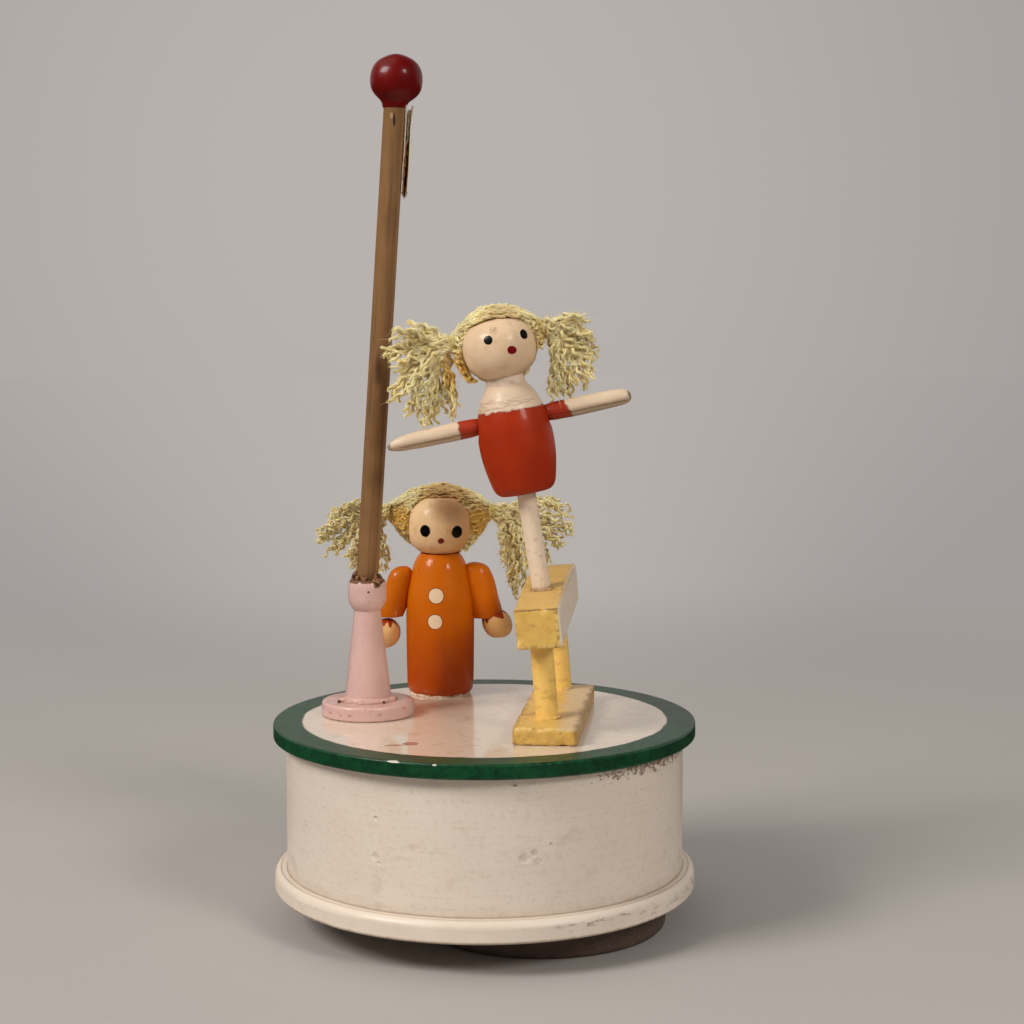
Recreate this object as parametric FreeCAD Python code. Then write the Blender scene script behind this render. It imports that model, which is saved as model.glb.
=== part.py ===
import FreeCAD, Part
import math
import os
from FreeCAD import Matrix, Placement, Rotation, Vector

# A wooden musical box with toy figures on its lid. The case sits on a round foot and turns on it:
# turning the case by hand winds the spring, and the spring then turns the case slowly as it plays.
# Origin: centre of the foot's underside, on the turning axis. +Z up, -Y towards the front. Millimetres.

# Case: bottom board, ring wall and lid, all centred on the drum's own axis
LID_RADIUS = 50.0
LID_THICKNESS = 3.5
LID_EDGE_ROUND = 0.5
LID_OVERHANG = 2.9
WALL_THICKNESS = 4.0
WALL_HEIGHT = 31.1
BOARD_OVERHANG = 2.9
BOARD_THICKNESS = 5.2
BOARD_TOP_ROUND = 1.8
BOARD_BOTTOM_ROUND = 0.9
BOARD_ARBOR_HOLE_RADIUS = 5.0
CASE_OFFSET_X = -13.2
CASE_OFFSET_Y = 6.3

# Foot: a round block under the case, off the drum's axis
FOOT_RADIUS = 29.5
FOOT_THICKNESS = 6.5
FOOT_ROUND = 1.6
FOOT_GAP = 1.5
INSERT_RADIUS = 4.2
INSERT_DEPTH = 5.0

# Wood screws that hold the board to the ring wall
BOARD_SCREW_COUNT = 3
BOARD_SCREW_RADIUS = 0.9
BOARD_SCREW_HEAD_RADIUS = 1.9
BOARD_SCREW_HEAD_HEIGHT = 1.2
BOARD_SCREW_GRIP = 7.0

# Flagpole in its turned stand
STAND_X = -27.95
STAND_Y = 5.2
STAND_BASE_RADIUS = 11.1
STAND_BASE_THICKNESS = 3.6
STAND_BASE_ROUND = 0.8
STAND_CONE_FOOT_RADIUS = 5.6
STAND_CONE_TOP_RADIUS = 3.15
STAND_CONE_HEIGHT = 21.6
STAND_FLARE_RADIUS = 6.3
STAND_FLARE_HEIGHT = 0.9
STAND_BALL_RADIUS = 4.55
STAND_BALL_FLAT_HEIGHT = 7.5
POLE_RADIUS = 2.6
POLE_LENGTH = 110.4
POLE_LEAN = 3.84
POLE_SOCKET_DEPTH = 6.0
POLE_BEAD_DEPTH = 5.0
BEAD_RADIUS = 6.1
BEAD_NECK_RADIUS = 2.85
BEAD_NECK_HEIGHT = 0.9
SOCKET_GLUE_RADIUS = 0.75

# Paper flag, one strip folded in two, glued along the pole
FLAG_HEIGHT = 20.8
FLAG_LENGTH = 29.0
FLAG_PAPER = 0.32
FLAG_PLY_GAP = 0.55
FLAG_LEAD = 1.2
FLAG_GLUE_LENGTH = 3.4
FLAG_GLUE_MARGIN = 0.6

# Vaulting horse: base board, two round posts, a beam with its ends sloped. It is placed by its rear end.
HORSE_REAR_X = 20.0372
HORSE_REAR_Y = 21.4930
HORSE_TURN = -7.1
HORSE_BOARD_WIDTH = 14.6
HORSE_BOARD_LENGTH = 54.0
HORSE_BOARD_THICKNESS = 4.0
POST_RADIUS = 2.6
POST_FRONT_INSET = 12.2
POST_REAR_INSET = 5.6
POST_SIDE_STEP = -0.55
POST_LEAN = 4.5
POST_FRONT_HEIGHT = 17.7
POST_SEAT_DEPTH = 3.0
BEAM_WIDTH = 9.7
BEAM_END_HEIGHT = 8.95
BEAM_MIDDLE_HEIGHT = 9.95
BEAM_PITCH = 4.0
BEAM_FRONT_OVERHANG = 6.9
BEAM_REAR_OVERHANG = 7.9
BEAM_FRONT_SLOPE_LENGTH = 20.0
BEAM_REAR_SLOPE_LENGTH = 10.6
BEAM_EDGE_ROUND = 0.45

# Gymnast on one leg on the beam
LEG_RADIUS = 2.2
LEG_LENGTH = 22.9
LEG_LEAN = 9.0
LEG_SEAT_DEPTH = 5.0
LEG_SETBACK = 17.4
GYMNAST_BODY_RADIUS = 8.7
GYMNAST_BODY_HEIGHT = 25.3
GYMNAST_BODY_LEAN = 10.5
GYMNAST_NECK_RADIUS = 4.5
GYMNAST_ARM_RADIUS = 2.0
GYMNAST_ARM_REACH = 28.6
GYMNAST_ARM_TILT = 1.3
GYMNAST_ARM_HEIGHT = 15.7
GYMNAST_ARM_SEAT_DEPTH = 3.5
GYMNAST_HEAD_RADIUS = 8.7
GYMNAST_HEAD_HEIGHT = 15.3

# Peg doll in a long dress
DOLL_X = -11.2
DOLL_Y = 32.0
DOLL_BODY_RADIUS = 8.5
DOLL_BODY_HEIGHT = 35.7
DOLL_NECK_RADIUS = 4.9
DOLL_SHOULDER_HEIGHT = 30.6
DOLL_SHOULDER_REACH = 9.9
DOLL_SHOULDER_RADIUS = 2.75
DOLL_HAND_HEIGHT = 17.0
DOLL_HAND_REACH = 14.5
DOLL_HAND_RADIUS = 3.8
DOLL_CUFF_RADIUS = 3.5
DOLL_SLEEVE_LENGTH = 11.2
DOLL_HEAD_RADIUS = 8.1
DOLL_HEAD_HEIGHT = 14.0

# Beads of the heads and the dowels that hold them
NECK_DOWEL_RADIUS = 1.5
NECK_DOWEL_DEPTH = 6.0
HEAD_DOWEL_DEPTH = 9.0

# Yarn hair: a cap over the back of each head, drawn out to two ties, and a tail beyond each tie
GYMNAST_HAIR_THICKNESS = 1.9
GYMNAST_HAIR_TOP = 2.9
GYMNAST_TIE_REACH = 10.1
GYMNAST_TIE_RISE = 3.85
DOLL_HAIR_THICKNESS = 2.4
DOLL_HAIR_TOP = 4.1
DOLL_TIE_REACH = 13.2
DOLL_TIE_RISE = 3.4
TIE_RADIUS = 1.7
TIE_THREAD_RADIUS = 0.35
TAIL_THICKNESS = 5.6
GYMNAST_LEFT_TAIL_LENGTH = 18.5
GYMNAST_LEFT_TAIL_WIDTH = 22.0
GYMNAST_LEFT_TAIL_DROP = 34.0
GYMNAST_RIGHT_TAIL_LENGTH = 16.5
GYMNAST_RIGHT_TAIL_WIDTH = 19.0
GYMNAST_RIGHT_TAIL_DROP = 30.0
DOLL_LEFT_TAIL_LENGTH = 19.5
DOLL_LEFT_TAIL_WIDTH = 14.6
DOLL_LEFT_TAIL_DROP = 39.0
DOLL_RIGHT_TAIL_LENGTH = 20.0
DOLL_RIGHT_TAIL_WIDTH = 23.0
DOLL_RIGHT_TAIL_DROP = 36.0

# Musical movement, laid out along u from the winding arbor, v across it and w up from the bedplate's top
BEDPLATE_THICKNESS = 2.0
BEDPLATE_START_U = -14.0
BEDPLATE_END_U = 41.5
BEDPLATE_FRONT_V = -28.5
BEDPLATE_REAR_V = 24.0
BEDPLATE_CORNER_ROUND = 3.0
BEDPLATE_WALL_GAP = 1.0
ARBOR_RADIUS = 2.0
RUNNING_CLEARANCE = 0.04
ARBOR_COLLAR_RADIUS = 3.4
ARBOR_COLLAR_HEIGHT = 1.6
ARBOR_COLLAR_GAP = 0.05
HUB_RADIUS = 2.8
HOUSING_RADIUS = 10.5
HOUSING_WALL = 0.8
HOUSING_HEIGHT = 13.0
SPRING_TURNS = 8
SPRING_POINTS_PER_TURN = 12
SPRING_STRIP = 0.3
SPRING_MARGIN = 0.35
CYLINDER_AXIS_HEIGHT = 8.6
CROWN_TEETH = 36
PINION_TEETH = 18
DRIVE_MODULE = 0.694
DRIVE_FACE = 1.2
CROWN_FACE = 1.8
CROWN_DISC_THICKNESS = 1.2
CROWN_HUB_RADIUS = 3.2
CROWN_RIM = 0.5
CROWN_TOOTH_WIDTH = 0.8
TOOTH_SINK = 0.2
FINE_MODULE = 0.3
GREAT_WHEEL_TEETH = 50
GREAT_WHEEL_WIDTH = 1.2
GOVERNOR_PINION_TEETH = 10
GOVERNOR_WHEEL_TEETH = 30
GOVERNOR_WHEEL_WIDTH = 0.8
CYLINDER_RADIUS = 6.5
CYLINDER_WALL = 0.7
CYLINDER_START_U = 15.6
CYLINDER_LENGTH = 19.0
CYLINDER_CAP = 0.8
PIN_RADIUS = 0.2
PIN_HEIGHT = 0.4
PIN_SINK = 0.3
PINS_PER_TRACK = 4
PIN_ROW_TURN_SHARE = 0.618
PIN_STAGGER_SHARE = 0.07
PIN_STAGGER_STEPS = 3
CYLINDER_ARBOR_RADIUS = 1.0
ARBOR_END_LENGTH = 0.6
SIDE_GAP = 0.3
BRACKET_THICKNESS = 0.8
BRACKET_WIDTH = 6.8
BRACKET_FOOT_LENGTH = 4.0
BRACKET_FOOT_REACH = 12.0
BRACKET_FOOT_THICKNESS = 0.9
BRACKET_OVER_AXIS = 3.0
COMB_TEETH = 18
COMB_TIP_GAP = 0.12
COMB_TOOTH_LENGTH = 12.0
COMB_ROOT_SLANT = 2.5
COMB_TOOTH_THICKNESS = 0.4
COMB_TOOTH_WIDTH = 0.65
COMB_BASE_DEPTH = 8.0
COMB_BASE_THICKNESS = 1.2
COMB_RAIL_MARGIN = 0.5
MACHINE_SCREW_RADIUS = 0.9
MACHINE_SCREW_HEAD_RADIUS = 1.7
MACHINE_SCREW_HEAD_HEIGHT = 0.7
COUNTERSINK_DEPTH = 1.4
COMB_SCREW_DEPTH = 5.0
COMB_SCREW_INSET = 4.2
GOVERNOR_ARBOR_RADIUS = 0.5
GOVERNOR_GAP = 0.8
WORM_PITCH_RADIUS = 1.0
WORM_SHAFT_RADIUS = 0.5
WORM_TURNS = 6
CHEEK_THICKNESS = 0.8
CHEEK_OVER_AXIS = 1.8
FRAME_BASE_THICKNESS = 0.8
FRAME_COLUMN_DEPTH = 1.4
FRAME_COLUMN_WIDTH = 2.4
FRAME_ARM_THICKNESS = 1.0
FRAME_SCREW_INSET = 1.9
FLY_REACH = 5.8
FLY_HEIGHT = 4.4
FLY_THICKNESS = 0.5
FLY_HUB_RADIUS = 1.1
FLY_LIFT = 1.1
FLY_SIDE_GAP = 1.0

OVERRUN = 5.0

# Outline shares: (share of the radius, share of the height), from the bottom up
DOLL_BODY_SHARES = [(0.78, 0.0), (0.93, 0.025), (0.985, 0.09), (1.0, 0.3),
                    (1.0, 0.6), (0.95, 0.74), (0.85, 0.85), (0.76, 0.93)]
GYMNAST_BODY_SHARES = [(0.66, 0.0), (0.76, 0.025), (0.88, 0.13), (0.97, 0.3), (1.0, 0.47),
                       (0.96, 0.64), (0.9, 0.74), (0.78, 0.86), (0.62, 0.955)]
# Places of the movement's screws, as shares of the ring wall's inner radius, from the drum's axis
MOVEMENT_SCREW_SHARES = [(-0.585, -0.582), (-0.585, 0.478), (-0.02, 0.478)]
HEAD_SQUARENESS = 2.6
HEAD_FLAT_SHARE = 0.45
HEAD_STEPS = 14
TAIL_SHARES = [(0.0, 0.15), (0.2, 0.5), (0.5, 0.92), (0.75, 1.0), (0.93, 0.8), (1.0, 0.55)]
TAIL_DEPTH_SHARES = [0.55, 0.85, 1.0, 1.0, 0.7, 0.4]
HAIR_FRONT_RISE_SHARE = 0.5
HAIR_FRONT_ANGLE = 24.0
BUNCH_ROOT_SHARE = 0.62
TIE_BACK_SHARE = 0.12

# Gear outline shares, of the module and of the angular pitch
ADDENDUM_SHARE = 0.75
DEDENDUM_SHARE = 1.0
TOOTH_ROOT_HALF_SHARE = 0.25
TOOTH_TIP_HALF_SHARE = 0.11
CROWN_TIP_SHARE = 0.5
CROWN_ROOT_SHARE = 1.35
THREAD_TIP_HALF_SHARE = 0.09
THREAD_ROOT_HALF_SHARE = 0.22

UP = Vector(0, 0, 1)
ALONG_X = Vector(1, 0, 0)
ALONG_Y = Vector(0, 1, 0)
ORIGIN = Vector(0, 0, 0)

# Sizes, levels and places that follow from the sizes above
WALL_RADIUS = LID_RADIUS - LID_OVERHANG
WALL_INNER_RADIUS = WALL_RADIUS - WALL_THICKNESS
BOARD_RADIUS = WALL_RADIUS + BOARD_OVERHANG
BOARD_BOTTOM = FOOT_THICKNESS + FOOT_GAP
BOARD_TOP = BOARD_BOTTOM + BOARD_THICKNESS
LID_BOTTOM = BOARD_TOP + WALL_HEIGHT
LID_TOP = LID_BOTTOM + LID_THICKNESS
BEDPLATE_TOP = BOARD_TOP + BEDPLATE_THICKNESS
CASE_AXIS = Vector(CASE_OFFSET_X, CASE_OFFSET_Y, 0)
ON_LID = Placement(Vector(CASE_OFFSET_X, CASE_OFFSET_Y, LID_TOP), Rotation())
MOVEMENT_TURN = math.degrees(math.atan2(CASE_OFFSET_Y, CASE_OFFSET_X))
IN_MOVEMENT = Placement(Vector(0, 0, BEDPLATE_TOP), Rotation(UP, MOVEMENT_TURN))


def placed(shape, place):
    """A copy of the shape, moved from a local frame to where that frame lies."""
    moved = shape.copy()
    moved.Placement = place.multiply(moved.Placement)
    return moved


def drum(radius, low, high, centre=ORIGIN):
    """An upright cylinder between two levels."""
    return Part.makeCylinder(radius, high - low, Vector(centre.x, centre.y, low), UP)


def rod(radius, start, end):
    """A cylinder between two points."""
    return Part.makeCylinder(radius, (end - start).Length, start, end - start)


def block(low, high):
    """A box between two opposite corners."""
    size = high - low
    return Part.makeBox(size.x, size.y, size.z, low)


def rounded_drum(radius, low, high, low_round, high_round):
    """An upright cylinder whose two rims are rounded."""
    solid = drum(radius, low, high)
    for level, amount in ((low, low_round), (high, high_round)):
        rings = [e for e in solid.Edges if len(e.Vertexes) == 1]
        solid = solid.makeFillet(amount, [e for e in rings if abs(e.Vertexes[0].Z - level) < amount / 2])
    return solid


def turned(points):
    """A solid turned about Z from (radius, height) points, listed from the flat bottom to the flat top."""
    outline = [Vector(radius, 0, height) for radius, height in points]
    curve = Part.BSplineCurve()
    curve.interpolate(outline)
    foot = Vector(0, 0, outline[0].z)
    head = Vector(0, 0, outline[-1].z)
    edges = [curve.toShape(), Part.makeLine(outline[-1], head), Part.makeLine(head, foot),
             Part.makeLine(foot, outline[0])]
    return Part.Face(Part.Wire(edges)).revolve(ORIGIN, UP, 360)


def ellipse_wire(centre, across, half_across, half_depth):
    """An ellipse in the plane of one direction and Y."""
    frame = Rotation(across, ALONG_Y, across.cross(ALONG_Y), "XYZ")
    if half_depth > half_across:
        frame = Rotation(ALONG_Y, -across, across.cross(ALONG_Y), "XYZ")
    sizes = sorted((half_across, half_depth))
    ring = Part.Ellipse(ORIGIN, sizes[1], sizes[0]).toShape()
    ring.Placement = Placement(centre, frame)
    return Part.Wire([ring])


# Case and foot

def bottom_board():
    board = rounded_drum(BOARD_RADIUS, BOARD_BOTTOM, BOARD_TOP, BOARD_BOTTOM_ROUND, BOARD_TOP_ROUND)
    board.translate(CASE_AXIS)
    board = board.cut(drum(BOARD_ARBOR_HOLE_RADIUS, BOARD_BOTTOM - OVERRUN, BOARD_TOP + OVERRUN))
    return board.cut(board_screws()).cut(movement_screws())


def drum_wall():
    wall = drum(WALL_RADIUS, BOARD_TOP, LID_BOTTOM, CASE_AXIS)
    hollow = drum(WALL_INNER_RADIUS, BOARD_TOP - OVERRUN, LID_BOTTOM + OVERRUN, CASE_AXIS)
    return wall.cut(hollow).cut(board_screws())


def lid():
    plate = rounded_drum(LID_RADIUS, LID_BOTTOM, LID_TOP, LID_EDGE_ROUND, LID_EDGE_ROUND)
    plate.translate(CASE_AXIS)
    return plate


def countersunk_screw(radius, head_radius, head_height, length, place):
    """A screw with a flat conical head, standing on its head at a point."""
    head = Part.makeCone(head_radius, radius, head_height, place, UP)
    shank = Part.makeCylinder(radius, length, place, UP)
    return head.fuse(shank).removeSplitter()


def board_screws():
    ring = WALL_RADIUS - WALL_THICKNESS / 2
    screws = []
    for n in range(BOARD_SCREW_COUNT):
        angle = math.radians(90 + 360 * n / BOARD_SCREW_COUNT)
        place = CASE_AXIS + Vector(ring * math.cos(angle), ring * math.sin(angle), BOARD_BOTTOM)
        screws.append(countersunk_screw(BOARD_SCREW_RADIUS, BOARD_SCREW_HEAD_RADIUS, BOARD_SCREW_HEAD_HEIGHT,
                                        BOARD_THICKNESS + BOARD_SCREW_GRIP, place))
    return Part.makeCompound(screws)


def foot_disc():
    disc = rounded_drum(FOOT_RADIUS, 0, FOOT_THICKNESS, FOOT_ROUND, FOOT_ROUND)
    return disc.cut(drum(INSERT_RADIUS, FOOT_THICKNESS - INSERT_DEPTH, FOOT_THICKNESS + OVERRUN))


def foot_insert():
    insert = drum(INSERT_RADIUS, FOOT_THICKNESS - INSERT_DEPTH, FOOT_THICKNESS)
    return insert.cut(drum(ARBOR_RADIUS, FOOT_THICKNESS - INSERT_DEPTH, FOOT_THICKNESS + OVERRUN))


# Flagpole, bead and flag, in a frame that stands on the stand's socket and leans with the pole

SOCKET_FLOOR = STAND_BASE_THICKNESS + STAND_CONE_HEIGHT
SOCKET_TOP = SOCKET_FLOOR + STAND_BALL_FLAT_HEIGHT
ON_STAND = ON_LID.multiply(Placement(Vector(STAND_X, STAND_Y, 0), Rotation()))
ON_SOCKET = ON_STAND.multiply(Placement(Vector(0, 0, SOCKET_TOP), Rotation(ALONG_Y, POLE_LEAN)))


def pole_shape():
    """The pole, from the socket's floor to its seat in the bead."""
    return drum(POLE_RADIUS, -POLE_SOCKET_DEPTH, POLE_LENGTH + POLE_BEAD_DEPTH)


def pole_stand():
    base = rounded_drum(STAND_BASE_RADIUS, 0, STAND_BASE_THICKNESS, LID_EDGE_ROUND, STAND_BASE_ROUND)
    cone = Part.makeCone(STAND_CONE_FOOT_RADIUS, STAND_CONE_TOP_RADIUS, STAND_CONE_HEIGHT,
                         Vector(0, 0, STAND_BASE_THICKNESS), UP)
    flare = Part.makeCone(STAND_FLARE_RADIUS, STAND_CONE_FOOT_RADIUS, STAND_FLARE_HEIGHT,
                          Vector(0, 0, STAND_BASE_THICKNESS), UP)
    reach = math.sqrt(STAND_BALL_RADIUS ** 2 - STAND_CONE_TOP_RADIUS ** 2)
    ball = Part.makeSphere(STAND_BALL_RADIUS, Vector(0, 0, SOCKET_FLOOR + reach))
    ball = ball.common(drum(STAND_BASE_RADIUS, SOCKET_FLOOR, SOCKET_TOP))
    stand = base.fuse([cone, flare, ball]).removeSplitter()
    stand = placed(stand, ON_STAND)
    return stand.cut(placed(pole_shape(), ON_SOCKET))


def flagpole():
    return placed(pole_shape(), ON_SOCKET)


def socket_glue():
    """A rough ring of old glue round the pole where it enters the stand."""
    ring = Part.makeTorus(POLE_RADIUS, SOCKET_GLUE_RADIUS, ORIGIN, UP)
    ring = placed(ring, ON_SOCKET).cut(flagpole())
    return ring.cut(pole_stand())


def pole_bead():
    centre = Vector(0, 0, POLE_LENGTH + BEAD_NECK_HEIGHT + math.sqrt(BEAD_RADIUS ** 2 - BEAD_NECK_RADIUS ** 2))
    neck = Part.makeCylinder(BEAD_NECK_RADIUS, centre.z - POLE_LENGTH, Vector(0, 0, POLE_LENGTH), UP)
    bead = Part.makeSphere(BEAD_RADIUS, centre).fuse(neck).removeSplitter()
    return placed(bead.cut(pole_shape()), ON_SOCKET)


def flag():
    """Two plies of paper beside the pole, joined by a round fold at their far end."""
    top = POLE_LENGTH
    low = top - FLAG_HEIGHT
    inner = FLAG_PLY_GAP / 2
    outer = inner + FLAG_PAPER
    middle = POLE_RADIUS + outer
    fold = FLAG_LENGTH - FLAG_LEAD - outer
    body = block(Vector(middle - outer, -FLAG_LEAD, low), Vector(middle + outer, fold, top))
    body = body.fuse(drum(outer, low, top, Vector(middle, fold, 0)))
    hollow = block(Vector(middle - inner, -FLAG_LEAD - OVERRUN, low - OVERRUN),
                   Vector(middle + inner, fold, top + OVERRUN))
    hollow = hollow.fuse(drum(inner, low - OVERRUN, top + OVERRUN, Vector(middle, fold, 0)))
    return placed(body.cut(hollow).removeSplitter(), ON_SOCKET)


def flag_glue():
    """The strip of glue between the plies along the pole."""
    inner = FLAG_PLY_GAP / 2
    middle = POLE_RADIUS + inner + FLAG_PAPER
    low = POLE_LENGTH - FLAG_HEIGHT + FLAG_GLUE_MARGIN
    strip = block(Vector(middle - inner, FLAG_PAPER - FLAG_LEAD, low),
                  Vector(middle + inner, FLAG_GLUE_LENGTH - FLAG_LEAD, POLE_LENGTH - FLAG_GLUE_MARGIN))
    return placed(strip, ON_SOCKET)


# Vaulting horse, in a frame at the middle of its board's rear end. The posts and the beam lean a little
# to the left of upright.

POST_FRONT_Y = POST_FRONT_INSET - HORSE_BOARD_LENGTH
POST_REAR_Y = -POST_REAR_INSET
BEAM_LENGTH = BEAM_FRONT_OVERHANG + POST_REAR_Y - POST_FRONT_Y + BEAM_REAR_OVERHANG
ON_HORSE_SPOT = ON_LID.multiply(Placement(Vector(HORSE_REAR_X, HORSE_REAR_Y, 0), Rotation(UP, HORSE_TURN)))
ON_HORSE_BOARD = ON_HORSE_SPOT.multiply(
    Placement(Vector(POST_SIDE_STEP, 0, HORSE_BOARD_THICKNESS), Rotation(ALONG_Y, -POST_LEAN)))
BEAM_RISE = math.tan(math.radians(BEAM_PITCH))
BEAM_PLACE = ON_HORSE_BOARD.multiply(
    Placement(Vector(0, POST_FRONT_Y - BEAM_FRONT_OVERHANG, POST_FRONT_HEIGHT - BEAM_FRONT_OVERHANG * BEAM_RISE),
              Rotation(ALONG_X, BEAM_PITCH)))


def horse_post(y):
    """A post from a little below the board's top to a little above the beam's underside."""
    height = POST_FRONT_HEIGHT + (y - POST_FRONT_Y) * BEAM_RISE
    seat = HORSE_BOARD_THICKNESS / 2
    return placed(rod(POST_RADIUS, Vector(0, y, -seat), Vector(0, y, height + POST_SEAT_DEPTH)), ON_HORSE_BOARD)


def horse_board():
    half = HORSE_BOARD_WIDTH / 2
    board = block(Vector(-half, -HORSE_BOARD_LENGTH, 0), Vector(half, 0, HORSE_BOARD_THICKNESS))
    board = placed(board, ON_HORSE_SPOT)
    return board.cut(horse_post(POST_FRONT_Y)).cut(horse_post(POST_REAR_Y))


def horse_beam():
    half = BEAM_WIDTH / 2
    side = [(0, 0), (BEAM_LENGTH, 0), (BEAM_LENGTH, BEAM_END_HEIGHT),
            (BEAM_LENGTH - BEAM_REAR_SLOPE_LENGTH, BEAM_MIDDLE_HEIGHT),
            (BEAM_FRONT_SLOPE_LENGTH, BEAM_MIDDLE_HEIGHT), (0, BEAM_END_HEIGHT), (0, 0)]
    outline = Part.makePolygon([Vector(-half, y, z) for y, z in side])
    beam = Part.Face(outline).extrude(Vector(BEAM_WIDTH, 0, 0))
    upright = [e for e in beam.Edges if abs(e.Vertexes[0].Z - e.Vertexes[1].Z) > BEAM_END_HEIGHT / 2]
    beam = beam.makeFillet(BEAM_EDGE_ROUND, upright)
    beam = placed(beam, BEAM_PLACE)
    return beam.cut(horse_post(POST_FRONT_Y)).cut(horse_post(POST_REAR_Y)).cut(gymnast_leg())


# Gymnast: one leg, a barrel body, two stick arms, a bead head with yarn hair

def beam_top_height(y):
    """Height of the beam's top above its underside, at a distance from its front end."""
    rise = (BEAM_MIDDLE_HEIGHT - BEAM_END_HEIGHT) / BEAM_FRONT_SLOPE_LENGTH
    return BEAM_END_HEIGHT + rise * min(y, BEAM_FRONT_SLOPE_LENGTH)


LEG_SPOT = BEAM_PLACE.multVec(Vector(0, LEG_SETBACK, beam_top_height(LEG_SETBACK)))
ON_LEG_SPOT = Placement(LEG_SPOT, Rotation(ALONG_Y, -LEG_LEAN))
LEG_TOP = ON_LEG_SPOT.multVec(Vector(0, 0, LEG_LENGTH))
GYMNAST_BODY_PLACE = Placement(LEG_TOP, Rotation(ALONG_Y, -GYMNAST_BODY_LEAN))
GYMNAST_HEAD_PLACE = GYMNAST_BODY_PLACE.multiply(Placement(Vector(0, 0, GYMNAST_BODY_HEIGHT), Rotation()))


def gymnast_leg():
    foot = Vector(0, 0, -LEG_SEAT_DEPTH)
    return placed(rod(LEG_RADIUS, foot, Vector(0, 0, LEG_LENGTH + LEG_SEAT_DEPTH)), ON_LEG_SPOT)


def gymnast_arm(side):
    """A stick with a domed end, set into the body on one side (-1 left, 1 right)."""
    seat = GYMNAST_BODY_RADIUS - GYMNAST_ARM_SEAT_DEPTH
    tip = GYMNAST_ARM_REACH - GYMNAST_ARM_RADIUS
    stick = rod(GYMNAST_ARM_RADIUS, Vector(side * seat, 0, 0), Vector(side * tip, 0, 0))
    stick = stick.fuse(Part.makeSphere(GYMNAST_ARM_RADIUS, Vector(side * tip, 0, 0))).removeSplitter()
    tilt = Placement(Vector(0, 0, GYMNAST_ARM_HEIGHT), Rotation(ALONG_Y, -GYMNAST_ARM_TILT))
    return placed(stick, GYMNAST_BODY_PLACE.multiply(tilt))


def peg_body(shares, radius, height, neck_radius):
    points = [(radius * r, height * h) for r, h in shares]
    return turned(points + [(neck_radius, height)])


def gymnast_body():
    body = peg_body(GYMNAST_BODY_SHARES, GYMNAST_BODY_RADIUS, GYMNAST_BODY_HEIGHT, GYMNAST_NECK_RADIUS)
    body = placed(body, GYMNAST_BODY_PLACE)
    for cutter in (gymnast_leg(), gymnast_arm(-1), gymnast_arm(1), neck_dowel(GYMNAST_HEAD_PLACE)):
        body = body.cut(cutter)
    return body


def neck_dowel(head_place):
    """The dowel that joins a head to its body; the head's frame stands on the neck."""
    return placed(drum(NECK_DOWEL_RADIUS, -NECK_DOWEL_DEPTH, HEAD_DOWEL_DEPTH), head_place)


def bead_form(radius, height):
    """A flattened bead, flat where it sits on the neck."""
    points = []
    for n in range(HEAD_STEPS + 1):
        level = -1 + 2 * n / HEAD_STEPS
        flat = HEAD_FLAT_SHARE ** HEAD_SQUARENESS
        share = (flat + (1 - flat) * (1 - abs(level) ** HEAD_SQUARENESS)) ** (1 / HEAD_SQUARENESS)
        points.append((radius * share, height * (1 + level) / 2))
    return turned(points)


def head(radius, height, head_place):
    return placed(bead_form(radius, height), head_place).cut(neck_dowel(head_place))


def hair_cap(radius, height, thickness, top, reach, rise, head_place, body):
    """The yarn over the top and back of a head, drawn out to a tie on each side."""
    half_height = height / 2
    wide = radius + thickness
    tall = half_height + top
    scale = Matrix()
    scale.scale(wide, wide, tall)
    cap = Part.makeSphere(1).transformGeometry(scale)
    cap.translate(Vector(0, 0, half_height))
    for side in (-1, 1):
        root = Vector(side * radius * BUNCH_ROOT_SHARE, radius * TIE_BACK_SHARE, half_height)
        end = Vector(side * reach, radius * TIE_BACK_SHARE, half_height + rise)
        root_wire = ellipse_wire(root, UP, tall * BUNCH_ROOT_SHARE, wide * BUNCH_ROOT_SHARE)
        end_wire = ellipse_wire(end, UP, TIE_RADIUS, TIE_RADIUS)
        cap = cap.fuse(Part.makeLoft([root_wire, end_wire], True, True))
    size = 2 * (wide + reach)
    front = block(Vector(-size, -size, -size), Vector(size, 0, size))
    front.rotate(ORIGIN, ALONG_X, HAIR_FRONT_ANGLE)
    front.translate(Vector(0, -radius * HAIR_FRONT_RISE_SHARE, height))
    cap = cap.cut(front).cut(bead_form(radius, height))
    cap = placed(cap, head_place).cut(body)
    return max(cap.Solids, key=lambda s: s.Volume)


def tie_place(side, radius, height, reach, rise, head_place):
    return head_place.multVec(Vector(side * reach, radius * TIE_BACK_SHARE, height / 2 + rise))


def tail(side, length, width, drop, start):
    """A flat fan of yarn that hangs outwards from a tie."""
    angle = math.radians(drop)
    along = Vector(side * math.cos(angle), 0, -math.sin(angle))
    across = Vector(side * math.sin(angle), 0, math.cos(angle))
    wires = []
    for (share, width_share), depth_share in zip(TAIL_SHARES, TAIL_DEPTH_SHARES):
        centre = start + along * (TIE_THREAD_RADIUS + length * share)
        wires.append(ellipse_wire(centre, across, width / 2 * width_share, TAIL_THICKNESS / 2 * depth_share))
    return Part.makeLoft(wires, True, False)


def hair_tie(start, head_place):
    """A turn of thread round the yarn at a tie."""
    return Part.makeTorus(TIE_RADIUS + TIE_THREAD_RADIUS, TIE_THREAD_RADIUS, start,
                          head_place.Rotation.multVec(ALONG_X))


# Peg doll

DOLL_PLACE = ON_LID.multiply(Placement(Vector(DOLL_X, DOLL_Y, 0), Rotation()))
DOLL_HEAD_PLACE = DOLL_PLACE.multiply(Placement(Vector(0, 0, DOLL_BODY_HEIGHT), Rotation()))


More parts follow.
